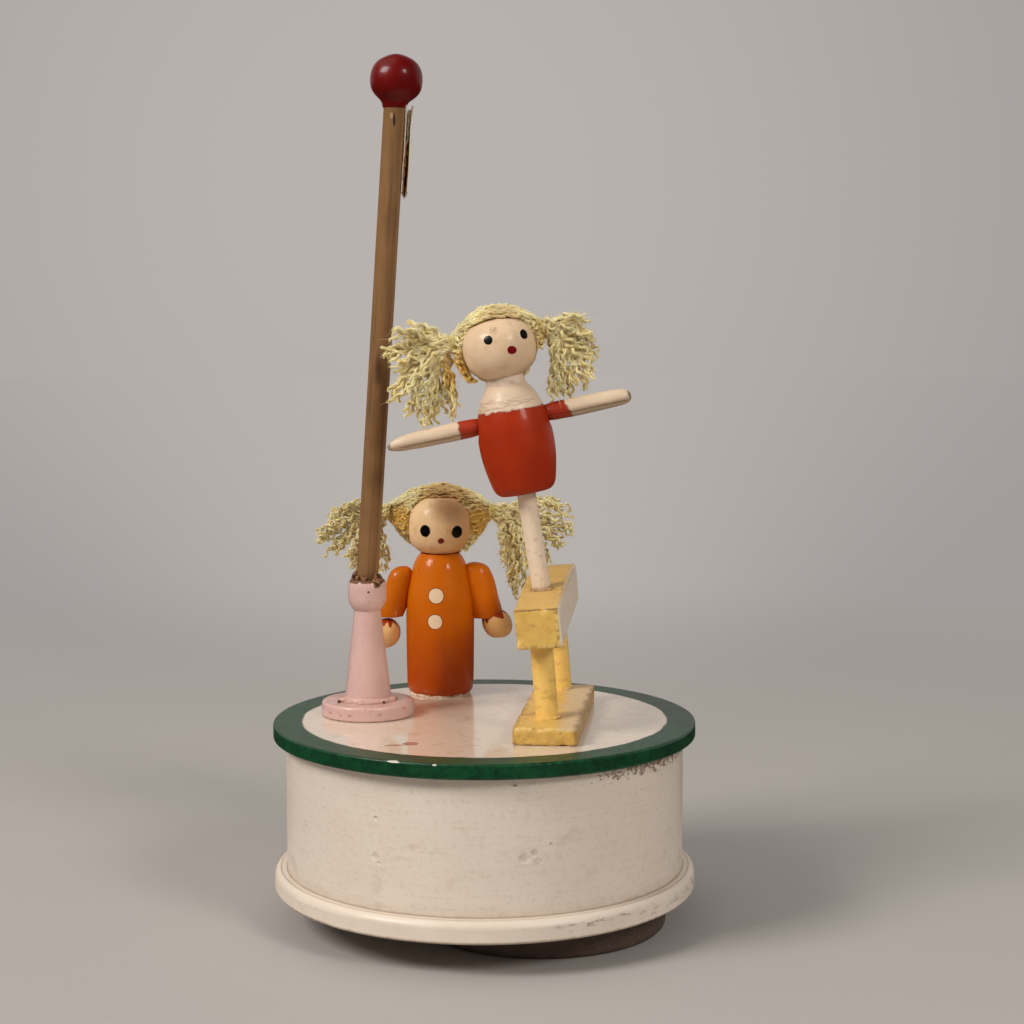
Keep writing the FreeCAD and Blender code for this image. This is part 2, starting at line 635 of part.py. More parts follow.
def doll_form():
    return placed(peg_body(DOLL_BODY_SHARES, DOLL_BODY_RADIUS, DOLL_BODY_HEIGHT, DOLL_NECK_RADIUS), DOLL_PLACE)


def doll_body():
    return doll_form().cut(neck_dowel(DOLL_HEAD_PLACE))


def doll_arm(side):
    """A sleeve that widens from a round shoulder to the cuff, with a ball hand below it."""
    shoulder = Vector(side * DOLL_SHOULDER_REACH, 0, DOLL_SHOULDER_HEIGHT)
    hand = Vector(side * DOLL_HAND_REACH, 0, DOLL_HAND_HEIGHT)
    line = (hand - shoulder).normalize()
    sleeve = Part.makeCone(DOLL_SHOULDER_RADIUS, DOLL_CUFF_RADIUS, DOLL_SLEEVE_LENGTH, shoulder, line)
    balls = [Part.makeSphere(DOLL_SHOULDER_RADIUS, shoulder), Part.makeSphere(DOLL_HAND_RADIUS, hand)]
    arm = placed(sleeve.fuse(balls).removeSplitter(), DOLL_PLACE).cut(doll_form())
    return max(arm.Solids, key=lambda s: s.Volume)


# Movement: bedplate, spring, drive wheels, cylinder, comb and governor, all in the movement's own frame

DRIVE_RADIUS = DRIVE_MODULE * CROWN_TEETH / 2
PINION_RADIUS = DRIVE_MODULE * PINION_TEETH / 2
CROWN_PITCH_LEVEL = CYLINDER_AXIS_HEIGHT + PINION_RADIUS
CROWN_DISC_BOTTOM = CROWN_PITCH_LEVEL + DRIVE_MODULE * CROWN_ROOT_SHARE
CROWN_DISC_TOP = CROWN_DISC_BOTTOM + CROWN_DISC_THICKNESS
PINION_END_U = DRIVE_RADIUS + DRIVE_FACE / 2
CYLINDER_END_U = CYLINDER_START_U + CYLINDER_LENGTH
GREAT_WHEEL_START_U = CYLINDER_END_U + SIDE_GAP
GREAT_WHEEL_END_U = GREAT_WHEEL_START_U + GREAT_WHEEL_WIDTH
GREAT_WHEEL_RADIUS = FINE_MODULE * GREAT_WHEEL_TEETH / 2
INNER_BRACKET_U = CYLINDER_START_U - SIDE_GAP * 2 - BRACKET_THICKNESS
OUTER_BRACKET_U = GREAT_WHEEL_END_U + SIDE_GAP
GOVERNOR_PINION_RADIUS = FINE_MODULE * GOVERNOR_PINION_TEETH / 2
GOVERNOR_WHEEL_RADIUS = FINE_MODULE * GOVERNOR_WHEEL_TEETH / 2
GOVERNOR_V = GREAT_WHEEL_RADIUS + GOVERNOR_PINION_RADIUS
GOVERNOR_WHEEL_U = GREAT_WHEEL_END_U + GOVERNOR_GAP
GOVERNOR_WHEEL_END_U = GOVERNOR_WHEEL_U + GOVERNOR_WHEEL_WIDTH
WORM_U = GOVERNOR_WHEEL_U + GOVERNOR_WHEEL_WIDTH / 2
WORM_V = GOVERNOR_V + GOVERNOR_WHEEL_RADIUS + WORM_PITCH_RADIUS
INNER_CHEEK_U = GREAT_WHEEL_START_U - GOVERNOR_GAP - CHEEK_THICKNESS
OUTER_CHEEK_U = GOVERNOR_WHEEL_END_U + GOVERNOR_GAP
FLY_LOW = CYLINDER_AXIS_HEIGHT + GOVERNOR_WHEEL_RADIUS + FLY_LIFT
FRAME_ARM_LOW = FLY_LOW + FLY_HEIGHT + GOVERNOR_GAP
COLUMN_V = WORM_V + FLY_REACH + FLY_SIDE_GAP
COMB_TIP_V = -(CYLINDER_RADIUS + PIN_HEIGHT + COMB_TIP_GAP)
COMB_ROOT_V = COMB_TIP_V - COMB_TOOTH_LENGTH
COMB_BACK_V = COMB_ROOT_V - COMB_BASE_DEPTH
RAIL_TOP = CYLINDER_AXIS_HEIGHT - COMB_BASE_THICKNESS / 2
COMB_SCREW_V = COMB_BACK_V + COMB_BASE_DEPTH / 2
TRACK_STEP = CYLINDER_LENGTH / (COMB_TEETH + 1)
DRUM_AXIS_IN_MOVEMENT = Vector(CASE_AXIS.Length, 0, 0)
Z_TO_U = Rotation(Vector(1, 1, 1), 120)
CYLINDER_AXLE = Placement(Vector(0, 0, CYLINDER_AXIS_HEIGHT), Z_TO_U)
GOVERNOR_AXLE = Placement(Vector(0, GOVERNOR_V, CYLINDER_AXIS_HEIGHT), Z_TO_U)
WORM_AXLE = Placement(Vector(WORM_U, WORM_V, CYLINDER_AXIS_HEIGHT), Rotation())


def toothed_disc(teeth, module, low, high, bore, phase):
    """A spur wheel about Z. The phase is the angle of one tooth's middle, in degrees."""
    pitch_radius = module * teeth / 2
    pitch_angle = 2 * math.pi / teeth
    corners = []
    for n in range(teeth):
        middle = math.radians(phase) + n * pitch_angle
        for radius, share in ((pitch_radius - module * DEDENDUM_SHARE, -TOOTH_ROOT_HALF_SHARE),
                              (pitch_radius + module * ADDENDUM_SHARE, -TOOTH_TIP_HALF_SHARE),
                              (pitch_radius + module * ADDENDUM_SHARE, TOOTH_TIP_HALF_SHARE),
                              (pitch_radius - module * DEDENDUM_SHARE, TOOTH_ROOT_HALF_SHARE)):
            angle = middle + share * pitch_angle
            corners.append(Vector(radius * math.cos(angle), radius * math.sin(angle), low))
    wheel = Part.Face(Part.makePolygon(corners + corners[:1])).extrude(Vector(0, 0, high - low))
    return wheel.cut(drum(bore, low - OVERRUN, high + OVERRUN))


def movement_screw_spots():
    """Where the three screws hold the bedplate to the board."""
    return [DRUM_AXIS_IN_MOVEMENT + Vector(u, v, 0) * WALL_INNER_RADIUS for u, v in MOVEMENT_SCREW_SHARES]


def movement_screws():
    drop = BEDPLATE_THICKNESS + BOARD_THICKNESS
    screws = [countersunk_screw(MACHINE_SCREW_RADIUS, MACHINE_SCREW_HEAD_RADIUS, COUNTERSINK_DEPTH,
                                drop, spot - UP * drop) for spot in movement_screw_spots()]
    return placed(Part.makeCompound(screws), IN_MOVEMENT)


def pan_screw(depth, spot):
    """A screw driven down at a point, with a flat round head above it."""
    shank = drum(MACHINE_SCREW_RADIUS, spot.z - depth, spot.z, spot)
    head = drum(MACHINE_SCREW_HEAD_RADIUS, spot.z, spot.z + MACHINE_SCREW_HEAD_HEIGHT, spot)
    return shank.fuse(head).removeSplitter()


def comb_screw_spots():
    level = RAIL_TOP + COMB_BASE_THICKNESS
    return [Vector(CYLINDER_START_U + COMB_SCREW_INSET, COMB_SCREW_V, level),
            Vector(CYLINDER_END_U - COMB_SCREW_INSET, COMB_SCREW_V, level)]


def comb_screws():
    screws = [pan_screw(COMB_SCREW_DEPTH, spot) for spot in comb_screw_spots()]
    return placed(Part.makeCompound(screws), IN_MOVEMENT)


def bracket_screw_spots():
    """One screw through each bracket's foot and one through the governor frame."""
    half = BRACKET_FOOT_LENGTH / 2
    reach = BRACKET_FOOT_REACH - half
    return [Vector(INNER_BRACKET_U + BRACKET_THICKNESS + half, reach, BRACKET_FOOT_THICKNESS),
            Vector(OUTER_BRACKET_U + half, -reach, BRACKET_FOOT_THICKNESS),
            Vector(INNER_CHEEK_U + FRAME_SCREW_INSET, COLUMN_V - FRAME_SCREW_INSET, FRAME_BASE_THICKNESS)]


def bracket_screws():
    screws = [pan_screw(spot.z + BEDPLATE_THICKNESS, spot) for spot in bracket_screw_spots()]
    return placed(Part.makeCompound(screws), IN_MOVEMENT)


def bedplate():
    plate = block(Vector(BEDPLATE_START_U, BEDPLATE_FRONT_V, -BEDPLATE_THICKNESS),
                  Vector(BEDPLATE_END_U, BEDPLATE_REAR_V, 0))
    corners = [e for e in plate.Edges if e.Vertexes[0].Z != e.Vertexes[1].Z]
    plate = plate.makeFillet(BEDPLATE_CORNER_ROUND, corners)
    plate = plate.common(drum(WALL_INNER_RADIUS - BEDPLATE_WALL_GAP, -BEDPLATE_THICKNESS, 0, DRUM_AXIS_IN_MOVEMENT))
    rail = block(Vector(CYLINDER_START_U - COMB_RAIL_MARGIN, COMB_BACK_V - COMB_RAIL_MARGIN, 0),
                 Vector(CYLINDER_END_U + COMB_RAIL_MARGIN, COMB_ROOT_V - COMB_RAIL_MARGIN, RAIL_TOP))
    plate = plate.fuse(rail).removeSplitter()
    plate = plate.cut(drum(ARBOR_RADIUS + RUNNING_CLEARANCE, -BEDPLATE_THICKNESS - OVERRUN, OVERRUN))
    plate = placed(plate, IN_MOVEMENT)
    return plate.cut(movement_screws()).cut(comb_screws()).cut(bracket_screws())


def winding_arbor():
    """The shaft that stands in the foot and carries the spring's hub and the crown wheel."""
    foot = FOOT_THICKNESS - INSERT_DEPTH - BEDPLATE_TOP
    shaft = drum(ARBOR_RADIUS, foot, CROWN_DISC_TOP + CROWN_RIM)
    collar_top = -BEDPLATE_THICKNESS - ARBOR_COLLAR_GAP
    collar = drum(ARBOR_COLLAR_RADIUS, collar_top - ARBOR_COLLAR_HEIGHT, collar_top)
    hub = drum(HUB_RADIUS, SPRING_MARGIN, HOUSING_HEIGHT - HOUSING_WALL - SPRING_MARGIN)
    return placed(shaft.fuse([collar, hub]).removeSplitter(), IN_MOVEMENT)


def spring_housing():
    cup = drum(HOUSING_RADIUS, 0, HOUSING_HEIGHT)
    cup = cup.cut(drum(HOUSING_RADIUS - HOUSING_WALL, -OVERRUN, HOUSING_HEIGHT - HOUSING_WALL))
    return placed(cup.cut(drum(ARBOR_RADIUS + RUNNING_CLEARANCE, 0, HOUSING_HEIGHT + OVERRUN)), IN_MOVEMENT)


def mainspring():
    """A wound strip that lies between the arbor's hub and the housing's wall."""
    first = HUB_RADIUS + SPRING_MARGIN + SPRING_STRIP / 2
    last = HOUSING_RADIUS - HOUSING_WALL - RUNNING_CLEARANCE - SPRING_STRIP / 2
    steps = SPRING_TURNS * SPRING_POINTS_PER_TURN
    sides = []
    for shift in (-SPRING_STRIP / 2, SPRING_STRIP / 2):
        points = []
        for n in range(steps + 1):
            radius = first + (last - first) * n / steps + shift
            angle = 2 * math.pi * SPRING_TURNS * n / steps
            points.append(Vector(radius * math.cos(angle), radius * math.sin(angle), SPRING_MARGIN))
        curve = Part.BSplineCurve()
        curve.interpolate(points)
        sides.append((curve.toShape(), points))
    (inside, inner), (outside, outer) = sides
    edges = [inside, Part.makeLine(inner[-1], outer[-1]), outside, Part.makeLine(outer[0], inner[0])]
    wire = Part.Wire(Part.__sortEdges__(edges))
    height = HOUSING_HEIGHT - HOUSING_WALL - SPRING_MARGIN * 2
    strip = Part.Face(wire).extrude(Vector(0, 0, height))
    return placed(strip, IN_MOVEMENT)


def crown_wheel():
    """A disc on the arbor with teeth pointing down into the pinion. A gap faces the pinion."""
    outer = DRIVE_RADIUS + CROWN_FACE / 2
    wheel = drum(outer + CROWN_RIM, CROWN_DISC_BOTTOM, CROWN_DISC_TOP)
    wheel = wheel.fuse(drum(CROWN_HUB_RADIUS, HOUSING_HEIGHT + SPRING_MARGIN, CROWN_DISC_TOP))
    tip = CROWN_PITCH_LEVEL - DRIVE_MODULE * CROWN_TIP_SHARE
    root = CROWN_DISC_BOTTOM + TOOTH_SINK
    half_tip = CROWN_TOOTH_WIDTH * CROWN_TIP_SHARE / 2
    half_root = CROWN_TOOTH_WIDTH * CROWN_ROOT_SHARE / 2
    start = DRIVE_RADIUS - CROWN_FACE / 2
    corners = [Vector(start, -half_root, root), Vector(start, -half_tip, tip),
               Vector(start, half_tip, tip), Vector(start, half_root, root)]
    tooth = Part.Face(Part.makePolygon(corners + corners[:1])).extrude(Vector(CROWN_FACE, 0, 0))
    teeth = []
    for n in range(CROWN_TEETH):
        copy = tooth.copy()
        copy.rotate(ORIGIN, UP, 360 * (n + 0.5) / CROWN_TEETH)
        teeth.append(copy)
    wheel = wheel.fuse(teeth).removeSplitter()
    return placed(wheel.cut(drum(ARBOR_RADIUS, 0, CROWN_DISC_TOP + OVERRUN)), IN_MOVEMENT)


def cylinder_pinion():
    pinion = toothed_disc(PINION_TEETH, DRIVE_MODULE, PINION_END_U - DRIVE_FACE, PINION_END_U,
                          CYLINDER_ARBOR_RADIUS, 90)
    return placed(placed(pinion, CYLINDER_AXLE), IN_MOVEMENT)


def great_wheel():
    """The fine wheel at the cylinder's end. A gap faces the governor's pinion."""
    wheel = toothed_disc(GREAT_WHEEL_TEETH, FINE_MODULE, GREAT_WHEEL_START_U, GREAT_WHEEL_END_U,
                         CYLINDER_ARBOR_RADIUS, 180 / GREAT_WHEEL_TEETH)
    return placed(placed(wheel, CYLINDER_AXLE), IN_MOVEMENT)


def cylinder_arbor():
    end = OUTER_BRACKET_U + BRACKET_THICKNESS + ARBOR_END_LENGTH
    shaft = drum(CYLINDER_ARBOR_RADIUS, PINION_END_U - DRIVE_FACE, end)
    return placed(placed(shaft, CYLINDER_AXLE), IN_MOVEMENT)


def note_cylinder():
    """A closed brass tube with rows of raised pins, one row for each tooth of the comb."""
    tube = drum(CYLINDER_RADIUS, CYLINDER_START_U, CYLINDER_END_U)
    hollow_low = CYLINDER_START_U + CYLINDER_CAP
    tube = tube.cut(drum(CYLINDER_RADIUS - CYLINDER_WALL, hollow_low, CYLINDER_END_U - CYLINDER_CAP))
    pins = []
    for row in range(COMB_TEETH):
        for n in range(PINS_PER_TRACK):
            stagger = PIN_STAGGER_SHARE * (n * row % PIN_STAGGER_STEPS)
            turn = (row * PIN_ROW_TURN_SHARE + n / PINS_PER_TRACK + stagger) * 2 * math.pi
            outward = Vector(math.cos(turn), math.sin(turn), 0)
            start = outward * (CYLINDER_RADIUS - PIN_SINK) + UP * (CYLINDER_START_U + TRACK_STEP * (row + 1))
            pins.append(Part.makeCylinder(PIN_RADIUS, PIN_HEIGHT + PIN_SINK, start, outward))
    bore = drum(CYLINDER_ARBOR_RADIUS, CYLINDER_START_U - OVERRUN, CYLINDER_END_U + OVERRUN)
    return placed(placed(tube.fuse(pins).cut(bore), CYLINDER_AXLE), IN_MOVEMENT)


def bearing_bracket(u, side):
    """An upright plate with the arbor's bearing, on a foot that is screwed down beside the cylinder."""
    half = BRACKET_WIDTH / 2
    face = u + BRACKET_THICKNESS
    web_low, web_high = sorted((-side * half, side * BRACKET_FOOT_REACH))
    foot_low, foot_high = sorted((side * (BRACKET_FOOT_REACH - BRACKET_FOOT_LENGTH), side * BRACKET_FOOT_REACH))
    plate = block(Vector(u, -half, 0), Vector(face, half, CYLINDER_AXIS_HEIGHT + BRACKET_OVER_AXIS))
    web = block(Vector(u, web_low, 0), Vector(face, web_high, BRACKET_FOOT_THICKNESS))
    foot = block(Vector(u, foot_low, 0), Vector(face + BRACKET_FOOT_LENGTH, foot_high, BRACKET_FOOT_THICKNESS))
    plate = plate.fuse([web, foot])
    bore = Part.makeCylinder(CYLINDER_ARBOR_RADIUS + RUNNING_CLEARANCE, BRACKET_THICKNESS + OVERRUN * 2,
                             Vector(u - OVERRUN, 0, CYLINDER_AXIS_HEIGHT), ALONG_X)
    return placed(plate.removeSplitter().cut(bore), IN_MOVEMENT).cut(bracket_screws())


def comb():
    """A steel plate with tuned teeth that reach the pins; the low notes' teeth are longer."""
    base = [Vector(CYLINDER_START_U, COMB_BACK_V, RAIL_TOP), Vector(CYLINDER_END_U, COMB_BACK_V, RAIL_TOP),
            Vector(CYLINDER_END_U, COMB_ROOT_V + COMB_ROOT_SLANT, RAIL_TOP),
            Vector(CYLINDER_START_U, COMB_ROOT_V, RAIL_TOP)]
    plate = Part.Face(Part.makePolygon(base + base[:1])).extrude(Vector(0, 0, COMB_BASE_THICKNESS))
    low = CYLINDER_AXIS_HEIGHT - COMB_TOOTH_THICKNESS / 2
    teeth = []
    for row in range(COMB_TEETH):
        middle = CYLINDER_START_U + TRACK_STEP * (row + 1)
        teeth.append(block(Vector(middle - COMB_TOOTH_WIDTH / 2, COMB_ROOT_V - TOOTH_SINK, low),
                           Vector(middle + COMB_TOOTH_WIDTH / 2, COMB_TIP_V, low + COMB_TOOTH_THICKNESS)))
    return placed(plate.fuse(teeth).removeSplitter(), IN_MOVEMENT).cut(comb_screws())


def governor_frame():
    """The bracket that holds the governor's wheel between two cheeks and the upright worm above a foot."""
    half = FRAME_COLUMN_WIDTH / 2
    low_v = GOVERNOR_V - half
    far_v = COLUMN_V + FRAME_COLUMN_DEPTH
    far_corner = Vector(WORM_U + half, far_v, FRAME_ARM_LOW + FRAME_ARM_THICKNESS)
    end_u = OUTER_CHEEK_U + CHEEK_THICKNESS
    base = block(Vector(INNER_CHEEK_U, low_v, 0), Vector(end_u, far_v, FRAME_BASE_THICKNESS))
    column = block(Vector(WORM_U - half, COLUMN_V, 0), far_corner)
    arm = block(Vector(WORM_U - half, WORM_V - half, FRAME_ARM_LOW), far_corner)
    cheek_top = CYLINDER_AXIS_HEIGHT + CHEEK_OVER_AXIS
    cheek = block(Vector(0, low_v, 0), Vector(CHEEK_THICKNESS, GOVERNOR_V + half, cheek_top))
    cheeks = [cheek.translated(Vector(u, 0, 0)) for u in (INNER_CHEEK_U, OUTER_CHEEK_U)]
    frame = base.fuse([column, arm] + cheeks).removeSplitter()
    bore = rod(GOVERNOR_ARBOR_RADIUS + RUNNING_CLEARANCE,
               Vector(INNER_CHEEK_U - OVERRUN, GOVERNOR_V, CYLINDER_AXIS_HEIGHT),
               Vector(OUTER_CHEEK_U + OVERRUN, GOVERNOR_V, CYLINDER_AXIS_HEIGHT))
    pivot = drum(WORM_SHAFT_RADIUS + RUNNING_CLEARANCE, 0, FRAME_ARM_LOW + OVERRUN, Vector(WORM_U, WORM_V, 0))
    return placed(frame.cut(bore).cut(pivot), IN_MOVEMENT).cut(bracket_screws())


def governor_arbor():
    shaft = drum(GOVERNOR_ARBOR_RADIUS, INNER_CHEEK_U, OUTER_CHEEK_U + CHEEK_THICKNESS)
    return placed(placed(shaft, GOVERNOR_AXLE), IN_MOVEMENT)


def governor_pinion():
    pinion = toothed_disc(GOVERNOR_PINION_TEETH, FINE_MODULE, GREAT_WHEEL_START_U, GREAT_WHEEL_END_U,
                          GOVERNOR_ARBOR_RADIUS, 180)
    return placed(placed(pinion, GOVERNOR_AXLE), IN_MOVEMENT)


def governor_wheel():
    wheel = toothed_disc(GOVERNOR_WHEEL_TEETH, FINE_MODULE, GOVERNOR_WHEEL_U, GOVERNOR_WHEEL_END_U,
                         GOVERNOR_ARBOR_RADIUS, 0)
    return placed(placed(wheel, GOVERNOR_AXLE), IN_MOVEMENT)


def worm_shaft():
    """An upright shaft with one thread, whose gap faces the governor wheel's tooth."""
    pitch = math.pi * FINE_MODULE
    root = WORM_PITCH_RADIUS - FINE_MODULE * DEDENDUM_SHARE
    tip = WORM_PITCH_RADIUS + FINE_MODULE * ADDENDUM_SHARE
    sunk = root - FINE_MODULE * TOOTH_ROOT_HALF_SHARE
    height = pitch * WORM_TURNS
    start = -(height + pitch / 2) / 2
    half_root = pitch * THREAD_ROOT_HALF_SHARE
    half_tip = pitch * THREAD_TIP_HALF_SHARE
    corners = [Vector(sunk, 0, start - half_root), Vector(tip, 0, start - half_tip),
               Vector(tip, 0, start + half_tip), Vector(sunk, 0, start + half_root)]
    helix = Part.makeHelix(pitch, height, root)
    helix.translate(Vector(0, 0, start))
    section = Part.makePolygon(corners + corners[:1])
    thread = Part.Wire(helix.Edges).makePipeShell([section], True, True)
    core = drum(root, start - pitch, start + height + pitch)
    worm = core.fuse(thread)
    shaft_top = FRAME_ARM_LOW + FRAME_ARM_THICKNESS - CYLINDER_AXIS_HEIGHT
    worm = worm.fuse(drum(WORM_SHAFT_RADIUS, -CYLINDER_AXIS_HEIGHT, shaft_top))
    return placed(placed(worm, WORM_AXLE), IN_MOVEMENT)


def fly():
    """The fan that brakes the train by beating the air."""
    low = FLY_LOW - CYLINDER_AXIS_HEIGHT
    high = low + FLY_HEIGHT
    half = FLY_THICKNESS / 2
    blade = block(Vector(-FLY_REACH, -half, low), Vector(FLY_REACH, half, high))
    fan = drum(FLY_HUB_RADIUS, low, high).fuse(blade).removeSplitter()
    fan = fan.cut(drum(WORM_SHAFT_RADIUS, low - OVERRUN, high + OVERRUN))
    return placed(placed(fan, WORM_AXLE), IN_MOVEMENT)


def figure_hair(name, radius, height, thickness, top, reach, rise, head_place, body, tails):
    """The hair nodes of one figure. Each tail is (side, length, width, drop)."""
    cap = hair_cap(radius, height, thickness, top, reach, rise, head_place, body)
    pieces = {name + "_hair": cap}
    rings = []
    for side, length, width, drop in tails:
        start = tie_place(side, radius, height, reach, rise, head_place)
        label = "left" if side < 0 else "right"
        fan = tail(side, length, width, drop, start).cut(cap)
        fan = max(fan.Solids, key=lambda s: s.Volume)
        pieces[name + "_tail_" + label] = fan
        rings.append(hair_tie(start, head_place).cut(cap).cut(fan))
    pieces[name + "_hair_ties"] = Part.makeCompound(rings)
    return pieces


def all_pieces():
    pieces = {
        "foot_disc": foot_disc(), "foot_insert": foot_insert(), "winding_arbor": winding_arbor(),
        "crown_wheel": crown_wheel(),
        "bottom_board": bottom_board(), "drum_wall": drum_wall(), "lid": lid(), "board_screws": board_screws(),
        "pole_stand": pole_stand(), "flagpole": flagpole(), "pole_bead": pole_bead(),
        "socket_glue": socket_glue(), "flag": flag(), "flag_glue": flag_glue(),
        "horse_board": horse_board(), "horse_post_front": horse_post(POST_FRONT_Y),
        "horse_post_rear": horse_post(POST_REAR_Y), "horse_beam": horse_beam(),
        "gymnast_leg": gymnast_leg(), "gymnast_body": gymnast_body(), "gymnast_arm_left": gymnast_arm(-1),
        "gymnast_arm_right": gymnast_arm(1), "gymnast_neck_dowel": neck_dowel(GYMNAST_HEAD_PLACE),
        "gymnast_head": head(GYMNAST_HEAD_RADIUS, GYMNAST_HEAD_HEIGHT, GYMNAST_HEAD_PLACE),
        "doll_body": doll_body(), "doll_arm_left": doll_arm(-1), "doll_arm_right": doll_arm(1),
        "doll_neck_dowel": neck_dowel(DOLL_HEAD_PLACE),
        "doll_head": head(DOLL_HEAD_RADIUS, DOLL_HEAD_HEIGHT, DOLL_HEAD_PLACE),
        "bedplate": bedplate(), "movement_screws": movement_screws(), "spring_housing": spring_housing(),
        "mainspring": mainspring(), "comb": comb(), "comb_screws": comb_screws(),
        "bearing_bracket_inner": bearing_bracket(INNER_BRACKET_U, 1),
        "bearing_bracket_outer": bearing_bracket(OUTER_BRACKET_U, -1),
        "bracket_screws": bracket_screws(), "governor_frame": governor_frame(),
        "note_cylinder": note_cylinder(), "cylinder_arbor": cylinder_arbor(),
        "cylinder_pinion": cylinder_pinion(), "great_wheel": great_wheel(),
        "governor_arbor": governor_arbor(), "governor_pinion": governor_pinion(),
        "governor_wheel": governor_wheel(), "worm_shaft": worm_shaft(), "fly": fly(),
    }
    tails = [(-1, GYMNAST_LEFT_TAIL_LENGTH, GYMNAST_LEFT_TAIL_WIDTH, GYMNAST_LEFT_TAIL_DROP),
             (1, GYMNAST_RIGHT_TAIL_LENGTH, GYMNAST_RIGHT_TAIL_WIDTH, GYMNAST_RIGHT_TAIL_DROP)]
    pieces.update(figure_hair("gymnast", GYMNAST_HEAD_RADIUS, GYMNAST_HEAD_HEIGHT, GYMNAST_HAIR_THICKNESS,
                              GYMNAST_HAIR_TOP, GYMNAST_TIE_REACH, GYMNAST_TIE_RISE, GYMNAST_HEAD_PLACE,
                              gymnast_body(), tails))
    tails = [(-1, DOLL_LEFT_TAIL_LENGTH, DOLL_LEFT_TAIL_WIDTH, DOLL_LEFT_TAIL_DROP),
             (1, DOLL_RIGHT_TAIL_LENGTH, DOLL_RIGHT_TAIL_WIDTH, DOLL_RIGHT_TAIL_DROP)]
    pieces.update(figure_hair("doll", DOLL_HEAD_RADIUS, DOLL_HEAD_HEIGHT, DOLL_HAIR_THICKNESS,
                              DOLL_HAIR_TOP, DOLL_TIE_REACH, DOLL_TIE_RISE, DOLL_HEAD_PLACE,
                              doll_body(), tails))
    return pieces


def main():
    os.makedirs("parts", exist_ok=True)
    for name, shape in all_pieces().items():
        shape.exportStep(os.path.join("parts", name + ".step"))
        kind = "" if shape.isValid() else " INVALID"
        print(f"{name}: {len(shape.Solids)} solid(s), {shape.Volume:.1f} mm3{kind}")
    axles = (("cylinder axis", CYLINDER_AXLE), ("governor axis", GOVERNOR_AXLE), ("worm axis", WORM_AXLE))
    for label, place in axles:
        point = IN_MOVEMENT.multVec(place.Base)
        line = IN_MOVEMENT.Rotation.multVec(place.Rotation.multVec(UP))
        print(label, [round(c, 5) for c in point], [round(c, 6) for c in line])


main()
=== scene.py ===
# %% [markdown]
# # A turned wooden music box with a little gymnast
# The real toy is a round box of lacquered wood. On its lid stand a peg doll, a flag on a pole, and a
# gymnast on a toy horse, and the clockwork under the lid turns the whole box on its foot.
# The solids come from CAD, so this lesson dresses them: it mixes the paints, winds the woollen hair
# and adds the small lumps of old glue that only show close up.

# %% Load the solids
import math
import random

import bpy
from mathutils import Matrix, Vector, noise


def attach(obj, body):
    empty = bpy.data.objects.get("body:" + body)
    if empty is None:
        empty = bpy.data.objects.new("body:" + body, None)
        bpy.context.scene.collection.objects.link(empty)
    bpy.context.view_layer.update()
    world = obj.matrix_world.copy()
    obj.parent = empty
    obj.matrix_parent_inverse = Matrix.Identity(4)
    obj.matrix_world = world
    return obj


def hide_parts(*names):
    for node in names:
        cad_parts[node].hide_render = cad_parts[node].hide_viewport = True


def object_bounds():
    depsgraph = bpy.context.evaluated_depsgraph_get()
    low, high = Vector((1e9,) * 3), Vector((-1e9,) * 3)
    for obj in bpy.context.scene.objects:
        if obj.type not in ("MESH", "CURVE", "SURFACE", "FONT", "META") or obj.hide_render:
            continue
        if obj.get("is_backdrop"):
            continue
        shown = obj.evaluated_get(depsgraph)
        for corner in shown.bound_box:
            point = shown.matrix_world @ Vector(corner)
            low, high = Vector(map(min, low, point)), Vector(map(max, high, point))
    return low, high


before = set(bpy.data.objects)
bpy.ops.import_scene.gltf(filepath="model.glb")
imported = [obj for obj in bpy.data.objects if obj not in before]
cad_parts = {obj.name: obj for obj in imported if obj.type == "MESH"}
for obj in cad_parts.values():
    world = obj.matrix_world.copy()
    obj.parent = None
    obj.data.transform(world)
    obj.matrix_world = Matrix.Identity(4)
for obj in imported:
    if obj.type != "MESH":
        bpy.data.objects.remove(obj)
solid_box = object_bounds()
MM = 0.001
print("solids loaded:", len(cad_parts))

# %% [markdown]
# ## Where things stand
# Each figure leans and turns a little, so each has its own frame: the place of its foot and the way
# its own upright points. A frame is a matrix. Paint and yarn are then laid out in the figure's own
# millimetres, and the matrix carries them to their place on the lid.


# %% Frames of the figures, in millimetres
def moved(x, y, z):
    return Matrix.Translation((x, y, z))


def turned(axis, degrees):
    return Matrix.Rotation(math.radians(degrees), 4, axis)


DRUM_X = -13.2
DRUM_AXIS = Vector((DRUM_X, 6.3, 0))
LID_TOP = 47.8
ON_LID = moved(DRUM_AXIS.x, DRUM_AXIS.y, LID_TOP)
ON_STAND = ON_LID @ moved(-27.95, 5.2, 0)
ON_SOCKET = ON_STAND @ moved(0, 0, 32.7) @ turned("Y", 3.84)
ON_HORSE_SPOT = ON_LID @ moved(20.0372, 21.493, 0) @ turned("Z", -7.1)
ON_HORSE_BOARD = ON_HORSE_SPOT @ moved(-0.55, 0, 4.0) @ turned("Y", -4.5)
BEAM_SLOPE = 4
BEAM_FOOT = 17.7 - 6.9 * math.tan(math.radians(BEAM_SLOPE))
ON_BEAM = ON_HORSE_BOARD @ moved(0, -48.7, BEAM_FOOT) @ turned("X", BEAM_SLOPE)
LEG_ALONG = 17.4
ON_LEG = moved(*(ON_BEAM @ Vector((0, LEG_ALONG, 9.82)))) @ turned("Y", -9)
GYMNAST = moved(*(ON_LEG @ Vector((0, 0, 22.9)))) @ turned("Y", -10.5)
GYMNAST_HEAD = GYMNAST @ moved(0, 0, 25.3)
DOLL = ON_LID @ moved(-11.2, 32, 0)
DOLL_HEAD = DOLL @ moved(0, 0, 35.7)
print("gymnast's neck at", [round(v, 1) for v in GYMNAST_HEAD.translation])

